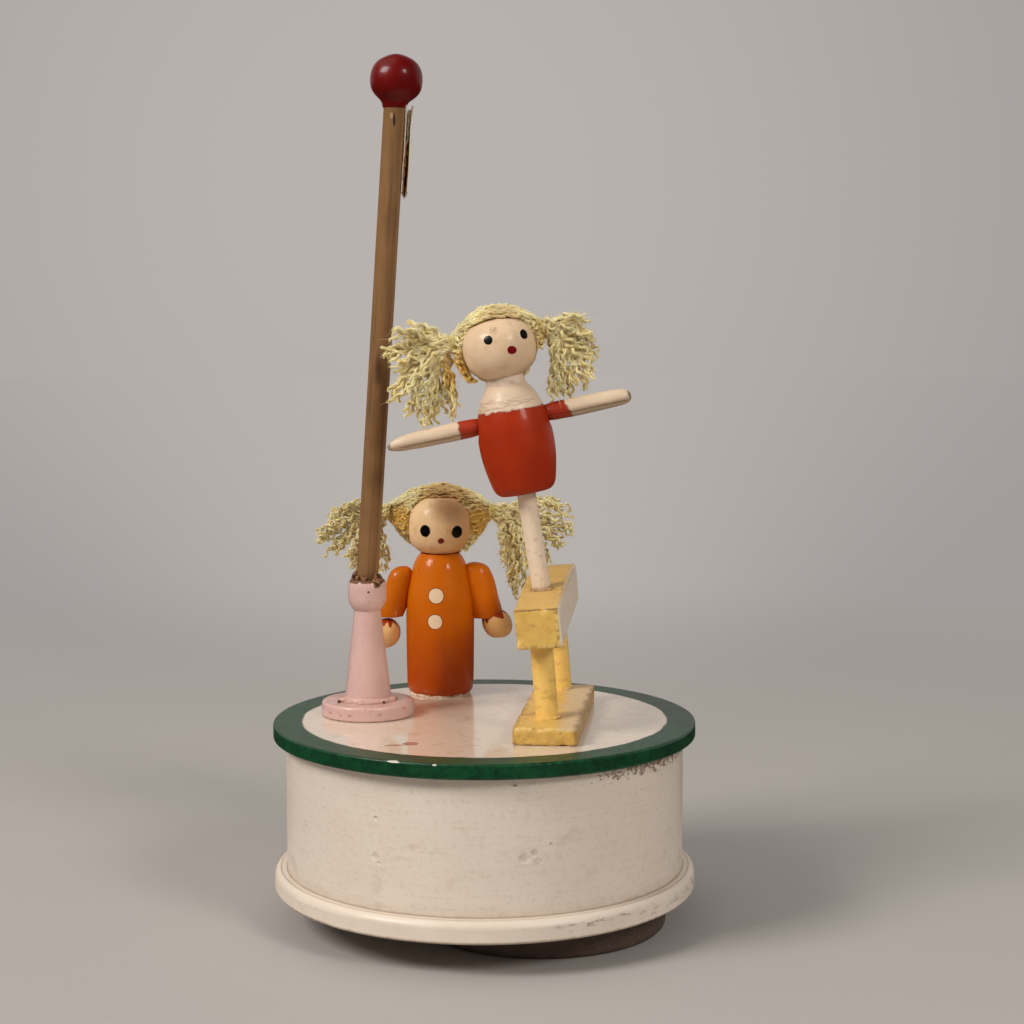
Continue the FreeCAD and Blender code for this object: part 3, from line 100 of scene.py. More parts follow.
# %% [markdown]
# ## The camera
# The photograph was taken from a little above the lid with a long lens. The place and the turn below
# were worked out from points whose place in space is known, such as the rims of the drum.
# The three columns of a camera's rotation are its right, its up and its back, so they can be written
# down directly, and no constraint is needed.


# %% Camera
def set_camera():
    yaw, pitch, roll = 0.0122342, 0.1002501, -0.0019329
    ahead = Vector((math.sin(yaw) * math.cos(pitch), math.cos(yaw) * math.cos(pitch), -math.sin(pitch)))
    level = Vector((math.cos(yaw), -math.sin(yaw), 0))
    raised = level.cross(ahead)
    right = level * math.cos(roll) + raised * math.sin(roll)
    up = raised * math.cos(roll) - level * math.sin(roll)
    bpy.ops.object.camera_add()
    camera = bpy.context.object
    camera.name = "camera"
    camera.matrix_world = Matrix((right, up, -ahead)).transposed().to_4x4()
    camera.location = Vector((-12.33, -464.06, 144.28)) * MM
    camera.data.lens = 70.5
    camera.data.sensor_width = 36
    camera.data.clip_start = 0.01
    bpy.context.scene.camera = camera
    return camera


print("camera at", [round(v, 3) for v in set_camera().location])

# %% [markdown]
# ## Shader helpers
# A finish is a small net of nodes. Written out node by node it is hard to read, so three classes help.
# A Wire is the output of a node, and sums written with it add Math nodes. A Net is a node tree with
# the nodes that paint and light need most: noise, soft steps, colour mixes, distances and kinds of ray.
# A Finish is the net of one material, with patches and bumps. All its patterns read Object
# coordinates, scaled here to millimetres, so a grain size in the code is a real size.


# %% Wires: sums on shader values
class Wire:
    """The output of a shader node. Sums written with it add Math nodes to its net."""

    def __init__(self, net, socket):
        self.net, self.socket = net, socket

    def worked(self, operation, first, second=0.0):
        return self.net.node("Math", {"operation": operation}, {0: first, 1: second})

    def __add__(self, other):
        return self.worked("ADD", self, other)

    __radd__ = __add__

    def __mul__(self, other):
        return self.worked("MULTIPLY", self, other)

    __rmul__ = __mul__

    def __sub__(self, other):
        return self.worked("SUBTRACT", self, other)

    def __rsub__(self, other):
        return self.worked("SUBTRACT", other, self)

    def __or__(self, other):
        return self.worked("MAXIMUM", self, other)

    def __abs__(self):
        return self.worked("ABSOLUTE", self)


# %% Nets: the nodes that paint needs
def paint(red, green, blue):
    """A colour as it is seen on a screen, 0 to 255, in the linear light that shaders use."""
    shares = [c / 255 for c in (red, green, blue)]
    return (*[s / 12.92 if s <= 0.04045 else ((s + 0.055) / 1.055) ** 2.4 for s in shares], 1.0)


WALL_NEAR, WALL_FAR = paint(184, 178, 174), paint(162, 157, 154)
BEHIND_TOY = (-0.04, 0.98, 0.06)
# A Mix node has one set of sockets for each kind of data. These are the sockets for colours.
FIRST_COLOUR, SECOND_COLOUR, MIXED_COLOUR = 6, 7, 2


class Net:
    """A node tree."""

    def __init__(self, tree):
        self.tree = tree

    def node(self, kind, settings=None, inputs=None, output=0):
        """Adds a node: its settings first, then the values or links of its sockets."""
        node = self.tree.nodes.new("ShaderNode" + kind)
        for name, value in (settings or {}).items():
            setattr(node, name, value)
        for name, value in (inputs or {}).items():
            if isinstance(value, Wire):
                self.tree.links.new(value.socket, node.inputs[name])
            else:
                node.inputs[name].default_value = value
        return Wire(self, node.outputs[output])

    def xyz(self, at):
        parts = self.node("SeparateXYZ", None, {0: at}).socket.node
        return [Wire(self, socket) for socket in parts.outputs]

    def ray(self, kind):
        """1 on rays of one kind, such as Camera or Glossy, and 0 on all others."""
        return self.node("LightPath", output="Is %s Ray" % kind)

    def step(self, value, low, high):
        """0 below low and 1 above high, smooth between them. With low above high it falls instead."""
        rise = self.node("MapRange", {"interpolation_type": "SMOOTHSTEP"}, {
            "Value": value, "From Min": min(low, high), "From Max": max(low, high)})
        return 1 - rise if low > high else rise

    def mix(self, first, second, share):
        return self.node("Mix", {"data_type": "RGBA"}, {
            "Factor": share, FIRST_COLOUR: first, SECOND_COLOUR: second}, output=MIXED_COLOUR)

    def blend(self, first, second, share):
        """Mixes two shaders."""
        return self.node("MixShader", None, {0: share, 1: first, 2: second})

    def noise(self, at, size, detail=3.0, roughness=0.55, distortion=0.0):
        return self.node("TexNoise", None, {"Vector": at, "Scale": 1 / size, "Detail": detail,
                                            "Roughness": roughness, "Distortion": distortion})

    def wall(self, way):
        """The backdrop's glow in a direction, with painted light falloff: palest behind the toy, a little
        darker to the sides.
        """
        return self.mix(WALL_NEAR, WALL_FAR, self.step(self.away(way, BEHIND_TOY), 0.05, 0.42))

    def away(self, at, spot=(0, 0, 0)):
        """The distance from a spot."""
        return self.node("VectorMath", {"operation": "DISTANCE"}, {0: at, 1: spot}, output="Value")


class Finish(Net):
    """A material with a Principled shader."""

    def __init__(self, name, **shader_values):
        self.material = bpy.data.materials.new(name)
        self.material.use_nodes = True
        super().__init__(self.material.node_tree)
        self.shader = self.tree.nodes["Principled BSDF"]
        for socket, value in shader_values.items():
            self.shader.inputs[socket.replace("_", " ")].default_value = value

    def feed(self, **wires):
        for socket, wire in wires.items():
            self.tree.links.new(wire.socket, self.shader.inputs[socket.replace("_", " ")])
        return self

    def mm(self, place=None, stretch=(1, 1, 1)):
        """Object coordinates in millimetres, in the frame of a figure, divided by a stretch."""
        place = place or Matrix()
        return self.node("Mapping", {"vector_type": "TEXTURE"}, {
            "Vector": self.node("TexCoord", output="Object"), "Location": place.translation * MM,
            "Rotation": place.to_euler(), "Scale": [s * MM for s in stretch]})

    def radius(self, place):
        """The distance from a place's upright axis. The stretch makes height count for nothing."""
        return self.away(self.mm(place, stretch=(1, 1, 1000)))

    def patch(self, spot, sizes, ragged=0.0, edge=0.12, turn=0.0):
        """An oval patch: 1 inside, 0 outside. The ragged wire roughens its outline."""
        at = self.mm(moved(*spot) @ turned("Z", turn), stretch=sizes)
        return self.step(self.away(at) + ragged, 1 + edge, 1 - edge)

    def bump(self, height, depth):
        """A relief whose full height is a depth in millimetres."""
        return self.node("Bump", None, {"Strength": 1.0, "Distance": depth * MM, "Height": height})


def most(wires):
    """The largest of several wires."""
    wires = list(wires)
    largest = wires[0]
    for wire in wires[1:]:
        largest = largest | wire
    return largest


def dress(finish, *nodes):
    for name in nodes:
        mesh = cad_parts[name].data
        if not mesh.materials:
            mesh.materials.append(finish.material)
        for number in range(len(mesh.materials)):
            mesh.materials[number] = finish.material


# %% [markdown]
# ## The table
# The toy stands on a plain pale sheet that runs back into a plain pale wall. Near the toy it is an
# ordinary matt floor, so it takes the toy's shadows. Further out it fades to a glow that matches the
# wall in the same direction, with painted light falloff to the sides, so no edge shows from any side.
# The lacquer doesn't mirror it: in the photograph the room in front of the toy is dark, so glossy rays
# find the far floor dark too.


# %% Floor
def table_finish():
    finish = Finish("pale_table", Roughness=0.9, Specular_IOR_Level=0.2)
    at = finish.mm()
    colour = finish.mix(paint(177, 172, 168), paint(182, 176, 171), finish.noise(at, 180, detail=2))
    finish.feed(Base_Color=colour, Normal=finish.bump(finish.noise(at, 0.6, detail=2), 0.02))
    matt = Wire(finish, finish.shader.outputs["BSDF"])
    way = finish.node("VectorMath", {"operation": "NORMALIZE"}, {0: at})
    wall = finish.node("Emission", None, {"Color": finish.wall(way)})
    dark = finish.node("Emission", None, {"Color": paint(46, 43, 41)})
    reach = finish.away(at)
    seen = finish.blend(matt, wall, finish.step(reach, 200, 620) * finish.ray("Camera"))
    sheet = finish.blend(seen, dark, finish.ray("Glossy") * finish.step(reach, 70, 160))
    finish.tree.links.new(sheet.socket, finish.tree.nodes["Material Output"].inputs["Surface"])
    return finish


def lay_floor():
    bpy.ops.object.select_all(action="DESELECT")
    bpy.ops.mesh.primitive_circle_add(vertices=96, radius=4.0, fill_type="NGON")
    floor = bpy.context.object
    floor.name = "table"
    floor.data.materials.append(table_finish().material)
    floor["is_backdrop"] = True


lay_floor()
print("table laid")

# %% [markdown]
# ## The lights
# Three lamps light the toy. The key stands on the left, low enough to throw a long soft shadow to the
# right. A smaller one stands to the right of the camera, and a wide, weak one hangs high on the left.
# The light that reaches the toy falls with the square of a lamp's distance, so the helper takes the
# light that should arrive and works the power out.
# The sky fills the shadows evenly, but what the lacquer mirrors is a room that is pale behind the toy
# and dark behind the camera, and this is why dark paint stays dark.


# %% Lamps and sky
LAMP_COLOUR = (1.0, 0.965, 0.92)
LAMP_DISTANCE = 1.8


def hang_lamp(name, azimuth, elevation, size, level):
    """A square lamp that lights a white sheet held square to it at the given level."""
    a, e = math.radians(azimuth), math.radians(elevation)
    away = Vector((math.sin(a) * math.cos(e), -math.cos(a) * math.cos(e), math.sin(e)))
    middle = Vector((-10, 5, 70)) * MM
    bpy.ops.object.light_add(type="AREA", location=middle + away * LAMP_DISTANCE)
    lamp = bpy.context.object
    lamp.name = name
    lamp.rotation_euler = away.to_track_quat("Z", "Y").to_euler()
    lamp.data.size = size
    lamp.data.energy = level * (math.pi * LAMP_DISTANCE) ** 2
    lamp.data.color = LAMP_COLOUR


hang_lamp("key_lamp", azimuth=-60, elevation=40, size=0.62, level=0.69)
hang_lamp("second_lamp", azimuth=38, elevation=33, size=0.45, level=0.33)
hang_lamp("high_lamp", azimuth=-100, elevation=68, size=1.4, level=0.12)


def light_sky(level):
    world = bpy.data.worlds.new("sky")
    bpy.context.scene.world = world
    world.use_nodes = True
    net = Net(world.node_tree)
    ambient = net.tree.nodes["Background"]
    ambient.inputs["Color"].default_value = (1.0, 0.985, 0.97, 1)
    ambient.inputs["Strength"].default_value = level
    way = net.node("TexCoord", output="Generated")
    seen = net.node("Background", None, {"Color": net.wall(way)})
    _, y, z = net.xyz(way)
    pale_room = net.step(y, -0.1, 0.5) * net.step(z, 0.9, 0.3)
    room = net.node("Background", None, {"Color": net.mix(paint(40, 38, 36), WALL_NEAR, pale_room)})
    unseen = net.blend(Wire(net, ambient.outputs["Background"]), room, net.ray("Glossy"))
    sky = net.blend(unseen, seen, net.ray("Camera"))
    net.tree.links.new(sky.socket, net.tree.nodes["World Output"].inputs["Surface"])


light_sky(0.27)
bpy.context.scene.view_settings.view_transform = "Standard"

# %% [markdown]
# ## Cream lacquer: the drum and the board
# The drum and the board under it were sprayed cream on the lathe and have yellowed. Turning left fine
# rings, which run level round the wall, so the noise that paints them is stretched sideways and left
# thin upwards. Dirt lines the corner above the board and the wall darkens towards the bottom; under the
# lid a band of dirt and painted shade runs round, and a few knocks show.


# %% Cream drum
# Dirt, also used as painted shade under the lid.
DIRT_AND_SHADE = paint(158, 132, 106)
DRUM_DENTS = [((-4.6, -39.6, 26.2), 1.5), ((-2.4, -39.7, 27.3), 1.1), ((-1.6, -39.6, 25.2), 1.2),
              ((1.2, -38.9, 29.0), 0.5), ((-37.2, -34.2, 25.2), 1.0), ((-36.4, -34.5, 23.9), 0.5),
              ((-37.0, -34.0, 33.9), 0.6), ((-48, -19, 22), 0.6)]


def cream_drum():
    finish = Finish("drum_lacquer", Coat_Weight=0.2, Coat_Roughness=0.2, Specular_IOR_Level=0.4)
    at = finish.mm()
    x, _, z = finish.xyz(at)
    rings = finish.noise(finish.mm(stretch=(30, 30, 1)), 0.5, detail=3, roughness=0.6)
    cloud = finish.noise(at, 14, detail=4)
    peel = finish.noise(at, 1.1, detail=3)
    colour = finish.mix(paint(234, 220, 205), paint(222, 206, 190), cloud)
    grime = finish.step(rings * 0.45 + peel * 0.55, 0.48, 0.7)
    colour = finish.mix(colour, paint(200, 182, 162), grime * 0.45)
    smudge = finish.step(finish.noise(finish.mm(stretch=(1.6, 1.6, 1)), 5, detail=5), 0.56, 0.72)
    colour = finish.mix(colour, paint(198, 180, 162), smudge * 0.4)
    ragged = finish.noise(finish.mm(stretch=(2.4, 2.4, 1)), 1.6, detail=4)
    # A dark line of dirt where the wall meets the board, the wall darker towards the bottom, and under the lid
    # a band of dirt and painted shade.
    low_line = finish.step(z + ragged * 0.6, 14.1, 13.7)
    low_haze = finish.step(z + ragged * 5.0, 19.0, 15.5) * 0.22
    dirt_and_shade_under_lid = finish.step(z - ragged * 0.8, 43.2, 43.8)
    colour = finish.mix(colour, DIRT_AND_SHADE, (low_line * 0.6 | dirt_and_shade_under_lid | low_haze) * 0.85)
    grit = finish.noise(finish.mm(stretch=(1.5, 1.5, 1)), 0.9, detail=4, roughness=0.7)
    crowd = finish.step(z, 37.5, 43.5) * 0.27 * finish.step(x, -6, 22)
    specks = finish.step(grit + crowd, 0.73, 0.77)
    lone = finish.patch((-6.6, -40.3, 42.4), (2.1, 3, 0.7), grit * 1.5, 0.1)
    colour = finish.mix(colour, paint(128, 84, 52), (specks | lone) * 0.8)
    dents = most(finish.patch(spot, (size, 3, size), peel * 0.7, 0.4) for spot, size in DRUM_DENTS)
    colour = finish.mix(colour, paint(186, 162, 138), dents * finish.step(peel, 0.45, 0.6) * 0.5)
    relief = rings * 0.3 + cloud * 0.2 + peel * 0.8 - dents * peel * 4.0 + specks * 0.6
    return finish.feed(Base_Color=colour, Roughness=0.4 + 0.12 * rings + 0.2 * specks,
                       Normal=finish.bump(relief, 0.1))


dress(cream_drum(), "drum_wall")
print("cream lacquer on the drum")


# %% Cream board
def cream_board():
    finish = Finish("board_lacquer", Coat_Weight=0.2, Coat_Roughness=0.22, Specular_IOR_Level=0.4)
    at = finish.mm()
    x, _, z = finish.xyz(at)
    rings = finish.noise(finish.mm(stretch=(30, 30, 1)), 0.5, detail=3, roughness=0.6)
    cloud = finish.noise(at, 9, detail=4)
    peel = finish.noise(at, 1.0, detail=3)
    colour = finish.mix(paint(234, 220, 204), paint(222, 204, 186), cloud)
    radius = finish.radius(moved(*DRUM_AXIS))
    ragged = finish.noise(at, 2.2, detail=4)
    joint = finish.step(radius + ragged * 0.5, 47.75, 47.45) * finish.step(z, 12.4, 13.0)
    ring = finish.step(abs(radius - 48.55 + ragged * 0.15), 0.22, 0.05) * finish.step(z, 12.2, 12.6)
    colour = finish.mix(colour, DIRT_AND_SHADE, (joint | ring * 0.6) * 0.7)
    rubbing = finish.noise(finish.mm(stretch=(3, 3, 1)), 1.1, detail=5, roughness=0.65)
    rubbed = finish.step(rubbing, 0.52, 0.66) * finish.step(abs(z - 10.9), 1.7, 0.9)
    rubbed = rubbed * (0.15 + 0.85 * finish.step(x, -2, 8))
    colour = finish.mix(colour, paint(146, 132, 122), rubbed * 0.7)
    under = finish.step(z - ragged * 0.8, 8.5, 7.8)
    colour = finish.mix(colour, paint(150, 124, 98), under * 0.7)
    relief = rings * 0.3 + peel * 0.5 + cloud * 0.2 - rubbed * 0.8 - ring * 1.5
    return finish.feed(Base_Color=colour, Roughness=0.38 + 0.14 * rings + 0.2 * rubbed,
                       Normal=finish.bump(relief, 0.09))


dress(cream_board(), "bottom_board")
print("cream lacquer on the board")

# %% [markdown]
# ## The lid: cream with a green rim
# The lid was lacquered cream and its rim painted green by hand while it turned, so the line between
# them wavers a little. The cream is thick and glossy: seen from low down it mirrors the doll. The
# green is duller, and dust sits in it.


# %% Lid lacquer
def lid_lacquer():
    finish = Finish("lid_lacquer", Coat_Roughness=0.07, Specular_IOR_Level=0.4)
    at = finish.mm()
    _, _, z = finish.xyz(at)
    radius = finish.radius(moved(*DRUM_AXIS))
    cloud = finish.noise(at, 16, detail=4)
    cream = finish.mix(paint(238, 222, 203), paint(226, 206, 182), cloud)
    smear = finish.noise(at, 6, detail=5, distortion=1.5)
    cream = finish.mix(cream, paint(204, 178, 148), finish.step(smear, 0.5, 0.72) * 0.5)
    grain = finish.noise(at, 1.0, detail=4, roughness=0.65)
    brushed = finish.step(grain * 0.5 + finish.noise(at, 4, detail=4) * 0.5, 0.4, 0.6)
    green = finish.mix(paint(8, 74, 40), paint(4, 52, 28), brushed)
    on_top = finish.step(z, 47.3, 47.7)
    green = finish.mix(green, paint(52, 60, 46), finish.step(grain, 0.5, 0.7) * on_top * 0.55)
    wavy = radius + finish.noise(at, 5, detail=3) * 0.9
    rim = finish.step(wavy, 43.55, 43.9) | finish.step(z, 44.6, 44.4)
    colour = finish.mix(cream, green, rim)
    line = finish.step(abs(wavy - 43.75), 0.4, 0.1) * on_top
    colour = finish.mix(colour, paint(70, 60, 36), line * 0.5)
    worn = finish.step(finish.noise(finish.mm(stretch=(4, 4, 1)), 1.2, detail=4), 0.68, 0.72)
    worn = worn * finish.step(abs(z - 46.05), 1.45, 1.72) * finish.step(radius, 48.8, 49.4)
    colour = finish.mix(colour, paint(168, 158, 126), worn * 0.6)
    pale = finish.patch((-33.0, -17.5, 47.8), (2.6, 5.0, 3), grain * 0.9, 0.3)
    colour = finish.mix(colour, paint(236, 224, 206), pale * 0.5)
    # A raised lip round the chip, painted paler as a highlight.
    chip_lip_highlight = finish.patch((-29.9, -22.5, 47.8), (3.0, 3.9, 3), grain * 0.5, 0.1, 12)
    flaked = finish.patch((-29.7, -22.4, 47.8), (2.7, 2.9, 3), grain * 0.7, 0.1, 20)
    flaked = flaked | finish.patch((-33.0, -23.9, 47.8), (3.4, 1.1, 3), grain * 0.7, 0.1, 4)
    # Pale nicks on the rim's front edge, partly real nicks and partly painted glints.
    nicks_and_glints = finish.patch((-32.8, -39.6, 47.6), (2.6, 2, 0.35), grain * 0.8)
    nicks_and_glints = nicks_and_glints | finish.patch((-23.9, -42.5, 47.5), (0.8, 2, 0.3), grain * 0.8)
    colour = finish.mix(colour, paint(244, 226, 206), chip_lip_highlight * 0.7)
    colour = finish.mix(colour, paint(166, 112, 84), flaked * 0.95)
    colour = finish.mix(colour, paint(224, 216, 200), nicks_and_glints * 0.9)
    relief = rim * 0.5 + cloud * 0.2 + grain * rim * 1.4 + chip_lip_highlight * 0.5 - flaked * 2.0 - worn * 0.5
    return finish.feed(Base_Color=colour, Roughness=0.2 + 0.1 * smear + 0.14 * rim + 0.3 * flaked,
                       Coat_Weight=0.9 - 0.85 * rim - 0.8 * flaked * (1 - rim),
                       Normal=finish.bump(relief, 0.06))


dress(lid_lacquer(), "lid")
print("lid lacquered, green rim painted")

# %% [markdown]
# ## The other woods
# The foot is stained dark, the flag's stand is pink, the pole is brown dowel and the horse is yellow.
# They share one recipe: a paint that thickens and thins a little, the long grain of the wood showing
# through it, and wear that lets the wood out. What differs is the direction of the grain, so each
# finish gets the frame of its own piece.


# %% Painted wood
class PaintedWood(Finish):
    """A coat of paint over wood whose grain runs along the stretched axis."""

    def __init__(self, name, light, dark, place=None, *, grain, grain_share, rough, depth=0.04,
                 **shader_values):
        super().__init__(name, **shader_values)
        self.at = self.mm(place)
        self.row = self.mm()
        fibre = self.noise(self.mm(place, stretch=grain), 0.55, detail=4, roughness=0.6)
        self.cloud = self.noise(self.at, 7, detail=4)
        colour = self.mix(light, dark, self.cloud)
        self.colour = self.mix(colour, dark, self.step(fibre, 0.5, 0.75) * grain_share)
        self.relief = fibre * 0.6 + self.cloud * 0.4
        self.rough = rough + 0.14 * fibre
        self.depth = depth

    def stain(self, tint, share):
        """Lays another colour over the paint where the share is not 0."""
        self.colour = self.mix(self.colour, tint, share)

    def done(self):
        return self.feed(Base_Color=self.colour, Roughness=self.rough,
                         Normal=self.bump(self.relief, self.depth))


def foot_stain():
    finish = PaintedWood("foot_stain", paint(98, 80, 68), paint(68, 53, 44), grain=(12, 1, 1),
                         grain_share=0.6, rough=0.5, Specular_IOR_Level=0.3)
    _, _, z = finish.xyz(finish.at)
    rubbed = finish.step(finish.noise(finish.at, 2.4, detail=4), 0.56, 0.68) * finish.step(z, 1.8, 0.4)
    finish.stain(paint(132, 112, 94), rubbed * 0.6)
    dust = finish.step(finish.noise(finish.at, 1.2, detail=4), 0.55, 0.7)
    finish.stain(paint(118, 100, 86), dust * 0.3)
    return finish.done()


dress(foot_stain(), "foot_disc")
print("foot stained")


# %% Pink stand
STAND_CHIPS = [((-49.8, 4.6, 49.4), (0.8, 3, 0.5)), ((-44.9, 1.0, 49.4), (1.0, 3, 0.5)),
               ((-37.8, 0.9, 49.6), (0.9, 3, 0.6)), ((-32.3, 4.8, 50.5), (0.6, 3, 0.4)),
               ((-47.2, 2.4, 49.2), (0.5, 3, 0.4)), ((-41.2, 0.4, 51.0), (0.5, 3, 0.3))]


def pink_lacquer():
    finish = PaintedWood("stand_pink", paint(226, 188, 180), paint(206, 164, 156), ON_LID, grain=(1, 1, 10),
                         grain_share=0.2, rough=0.3, Coat_Weight=0.4, Coat_Roughness=0.12,
                         Specular_IOR_Level=0.35)
    row = finish.row
    _, _, z = finish.xyz(row)
    grain = finish.noise(row, 1.1, detail=4)
    pits = finish.step(finish.noise(row, 1.1, detail=2), 0.70, 0.74) * finish.step(z, 52.6, 51.0) * 0.6
    chips = most(finish.patch(spot, sizes, grain * 0.8, 0.3) for spot, sizes in STAND_CHIPS)
    finish.stain(paint(176, 124, 108), (pits | chips) * 0.7)
    pocks = finish.step(finish.noise(row, 1.7, detail=2), 0.66, 0.72)
    finish.stain(paint(190, 144, 134), pocks * 0.4)
    join = finish.step(abs(z - 51.7), 0.7, 0.1) * finish.noise(row, 1.8, detail=3)
    finish.stain(paint(172, 120, 96), join * 0.9)
    low = finish.step(z + grain * 0.8, 48.6, 48.1)
    finish.stain(paint(116, 76, 60), low * 0.8)
    torn = finish.patch((-38.5, 8.2, 79.4), (1.2, 2.2, 0.9), grain * 0.9)
    rim = finish.step(z + grain * 1.2, 80.35, 80.6)
    nick = finish.patch((-40.6, 7.2, 77.9), (0.3, 1, 0.25))
    finish.stain(paint(112, 74, 48), torn | rim)
    finish.stain(paint(70, 44, 36), nick)
    finish.relief = finish.relief - (pits | chips | nick) * 0.7 - torn * 1.2 - pocks * 1.2
    finish.rough = finish.rough + (torn | rim | chips) * 0.4
    return finish.done()


pink = pink_lacquer()
dress(pink, "pole_stand")
print("stand lacquered pink")


# %% Brown pole
def brown_dowel():
    finish = PaintedWood("pole_dowel", paint(148, 111, 72), paint(114, 79, 45), ON_SOCKET, grain=(1, 1, 22),
                         grain_share=0.8, depth=0.09, rough=0.55, Specular_IOR_Level=0.2)
    streak = finish.noise(finish.mm(ON_SOCKET, stretch=(1, 1, 40)), 1.4, detail=3)
    finish.stain(paint(88, 60, 37), finish.step(streak, 0.56, 0.7) * 0.5)
    # Painted light: the right-hand side of the pole is made paler.
    x, _, _ = finish.xyz(finish.at)
    finish.stain(paint(164, 128, 90), finish.step(x + streak, 2.4, 2.9) * 0.5)
    scorch = finish.patch((-37.9, 9.4, 130.5), (1.0, 3, 4.5), streak * 0.5, 0.5)
    finish.stain(paint(70, 42, 24), scorch * 0.75)
    chip = finish.patch((-33.7, 8.95, 188.2), (0.34, 1, 1.9), streak * 0.5, 0.3)
    lip = finish.patch((-34.35, 8.93, 189.3), (0.5, 1, 0.9), streak * 0.5, 0.3)
    finish.stain(paint(196, 160, 120), lip * 0.6)
    finish.stain(paint(52, 32, 20), chip * 0.95)
    finish.relief = finish.relief - chip * 3 + lip
    return finish.done()


dress(brown_dowel(), "flagpole")
print("pole stained")


# %% Leg and dowels
def leg_paint():
    finish = PaintedWood("leg_paint", paint(240, 219, 193), paint(228, 203, 173), ON_LEG, grain=(1, 1, 16),
                         grain_share=0.4, depth=0.05, rough=0.4, Coat_Weight=0.2, Coat_Roughness=0.2,
                         Specular_IOR_Level=0.3)
    _, _, z = finish.xyz(finish.at)
    grime = finish.noise(finish.row, 1.3, detail=4)
    finish.stain(paint(150, 112, 74), finish.step(z + grime * 1.6, 1.9, 1.2) * 0.6)
    finish.stain(paint(188, 154, 118), finish.step(grime, 0.58, 0.7) * 0.4)
    return finish.done()


def bare_dowel():
    finish = PaintedWood("bare_dowel", paint(214, 184, 140), paint(178, 142, 98), grain=(1, 1, 18),
                         grain_share=0.7, depth=0.06, rough=0.6)
    return finish.done()


dress(leg_paint(), "gymnast_leg")
dress(bare_dowel(), "gymnast_neck_dowel", "doll_neck_dowel")
print("leg and dowels finished")


# %% Yellow horse
def horse_yellow(name, place, size, low=(0, 0, 0), light=paint(236, 196, 108), dark=paint(216, 170, 80),
                 dirt=0.2):
    """Yellow lacquer, rubbed and dirty along the edges of a block of the given size."""
    finish = PaintedWood(name, light, dark, place, grain=(1, 16, 1), grain_share=0.35, depth=0.06, rough=0.42,
                         Coat_Weight=0.2, Coat_Roughness=0.25, Specular_IOR_Level=0.3)
    ragged = finish.noise(finish.at, 1.7, detail=4)
    x, y, z = finish.xyz(finish.at)
    width, length, height = size
    sides = finish.step(abs(x) + ragged * 0.9, width / 2 - 0.25, width / 2 + 0.2)
    ends = finish.step(abs(y - (low[1] + length / 2)) + ragged * 0.9, length / 2 - 0.25, length / 2 + 0.2)
    tops = finish.step(abs(z - (low[2] + height / 2)) + ragged * 0.9, height / 2 - 0.3, height / 2 + 0.15)
    worn = sides * ends | ends * tops | sides * tops
    finish.stain(paint(244, 214, 146), worn * finish.step(ragged, 0.42, 0.55) * 0.4)
    finish.stain(paint(122, 84, 44), worn * finish.step(ragged, 0.5, 0.38) * 0.6)
    finish.stain(paint(160, 110, 56), finish.step(finish.noise(finish.at, 1.3, detail=2), 0.70, 0.75) * 0.7)
    smear = finish.noise(finish.mm(place, stretch=(3, 3, 1)), 1.5, detail=4)
    finish.stain(paint(196, 152, 84), finish.step(smear, 0.54, 0.68) * 0.45)
    soil = finish.noise(finish.row, 2.6, detail=6, roughness=0.65)
    specks = finish.step(finish.noise(finish.row, 0.7, detail=3), 0.64, 0.7)
    finish.stain(paint(150, 108, 56), finish.step(soil, 0.5, 0.72) * dirt)
    finish.stain(paint(112, 76, 38), specks * dirt)
    finish.relief = finish.relief - worn * 0.6 + ragged * 0.6 + soil * 0.5 - specks
    return finish


# The posts are round, so the block is given much larger than they are and no edge of it shows.
post_yellow = horse_yellow("horse_post_yellow", ON_HORSE_BOARD, size=(40, 200, 40), low=(0, -100, -10),
                           light=paint(250, 212, 122), dark=paint(236, 190, 98), dirt=0.12)
dress(post_yellow.done(), "horse_post_front", "horse_post_rear")
print("horse's posts painted")

# %% [markdown]
# ## The gymnast's paint
# The body is one turned barrel: skin above, and below it a red leotard that was brushed on by hand, so
# its upper edge waves and a darker line of thick paint runs along it.

# %% Gymnast's body
RED_LIGHT, RED_DARK = paint(178, 52, 8), paint(152, 36, 4)
SKIN_LIGHT, SKIN_DARK = paint(228, 206, 182), paint(212, 184, 156)


def gymnast_paint():
    finish = PaintedWood("gymnast_paint", RED_LIGHT, RED_DARK, GYMNAST, grain=(1, 1, 8), grain_share=0.3,
                         depth=0.04, rough=0.4, Coat_Weight=0.2, Coat_Roughness=0.14, Specular_IOR_Level=0.15)
    x, _, z = finish.xyz(finish.at)
    wave = finish.noise(finish.at, 3.2, detail=4)
    drip = finish.noise(finish.mm(GYMNAST, stretch=(1, 1, 4)), 1.3, detail=2)
    level = z + wave * 1.6 + drip * 0.9 + x * 0.02 - 20.7
    skin = finish.mix(SKIN_LIGHT, SKIN_DARK, finish.cloud)
    ripple = finish.noise(finish.mm(GYMNAST, stretch=(9, 9, 1)), 1.5, detail=3)
    crease = finish.step(abs(ripple - 0.5), 0.035, 0.01)
    skin = finish.mix(skin, paint(150, 108, 76), crease * finish.step(z, 23.0, 21.8) * 0.4)
    bare = finish.step(level, -0.1, 0.1)
    red = 1 - bare
    finish.stain(skin, bare)
    finish.stain(paint(112, 26, 10), finish.step(abs(level), 0.35, 0.05) * 0.5)
    flecks = finish.step(finish.noise(finish.at, 1.0, detail=3), 0.68, 0.74)
    finish.stain(paint(112, 28, 12), flecks * red * 0.6)
    finish.relief = finish.relief + red * 0.8 - crease * bare
    return finish.done()


dress(gymnast_paint(), "gymnast_body")
print("gymnast painted")

# %% [markdown]
# ## The faces
# Each head is a flattened bead with two oval eyes and a small mouth, each one touch of the brush.
# A dab is a patch: 1 within a short distance of its middle, 0 beyond it. The middle of each dab is a
# point on the bead itself, in the toy's own millimetres, so the dabs lie right from every side.


# %% Faces
EYE_BLACK, MOUTH_RED = paint(8, 3, 3), paint(120, 4, 10)


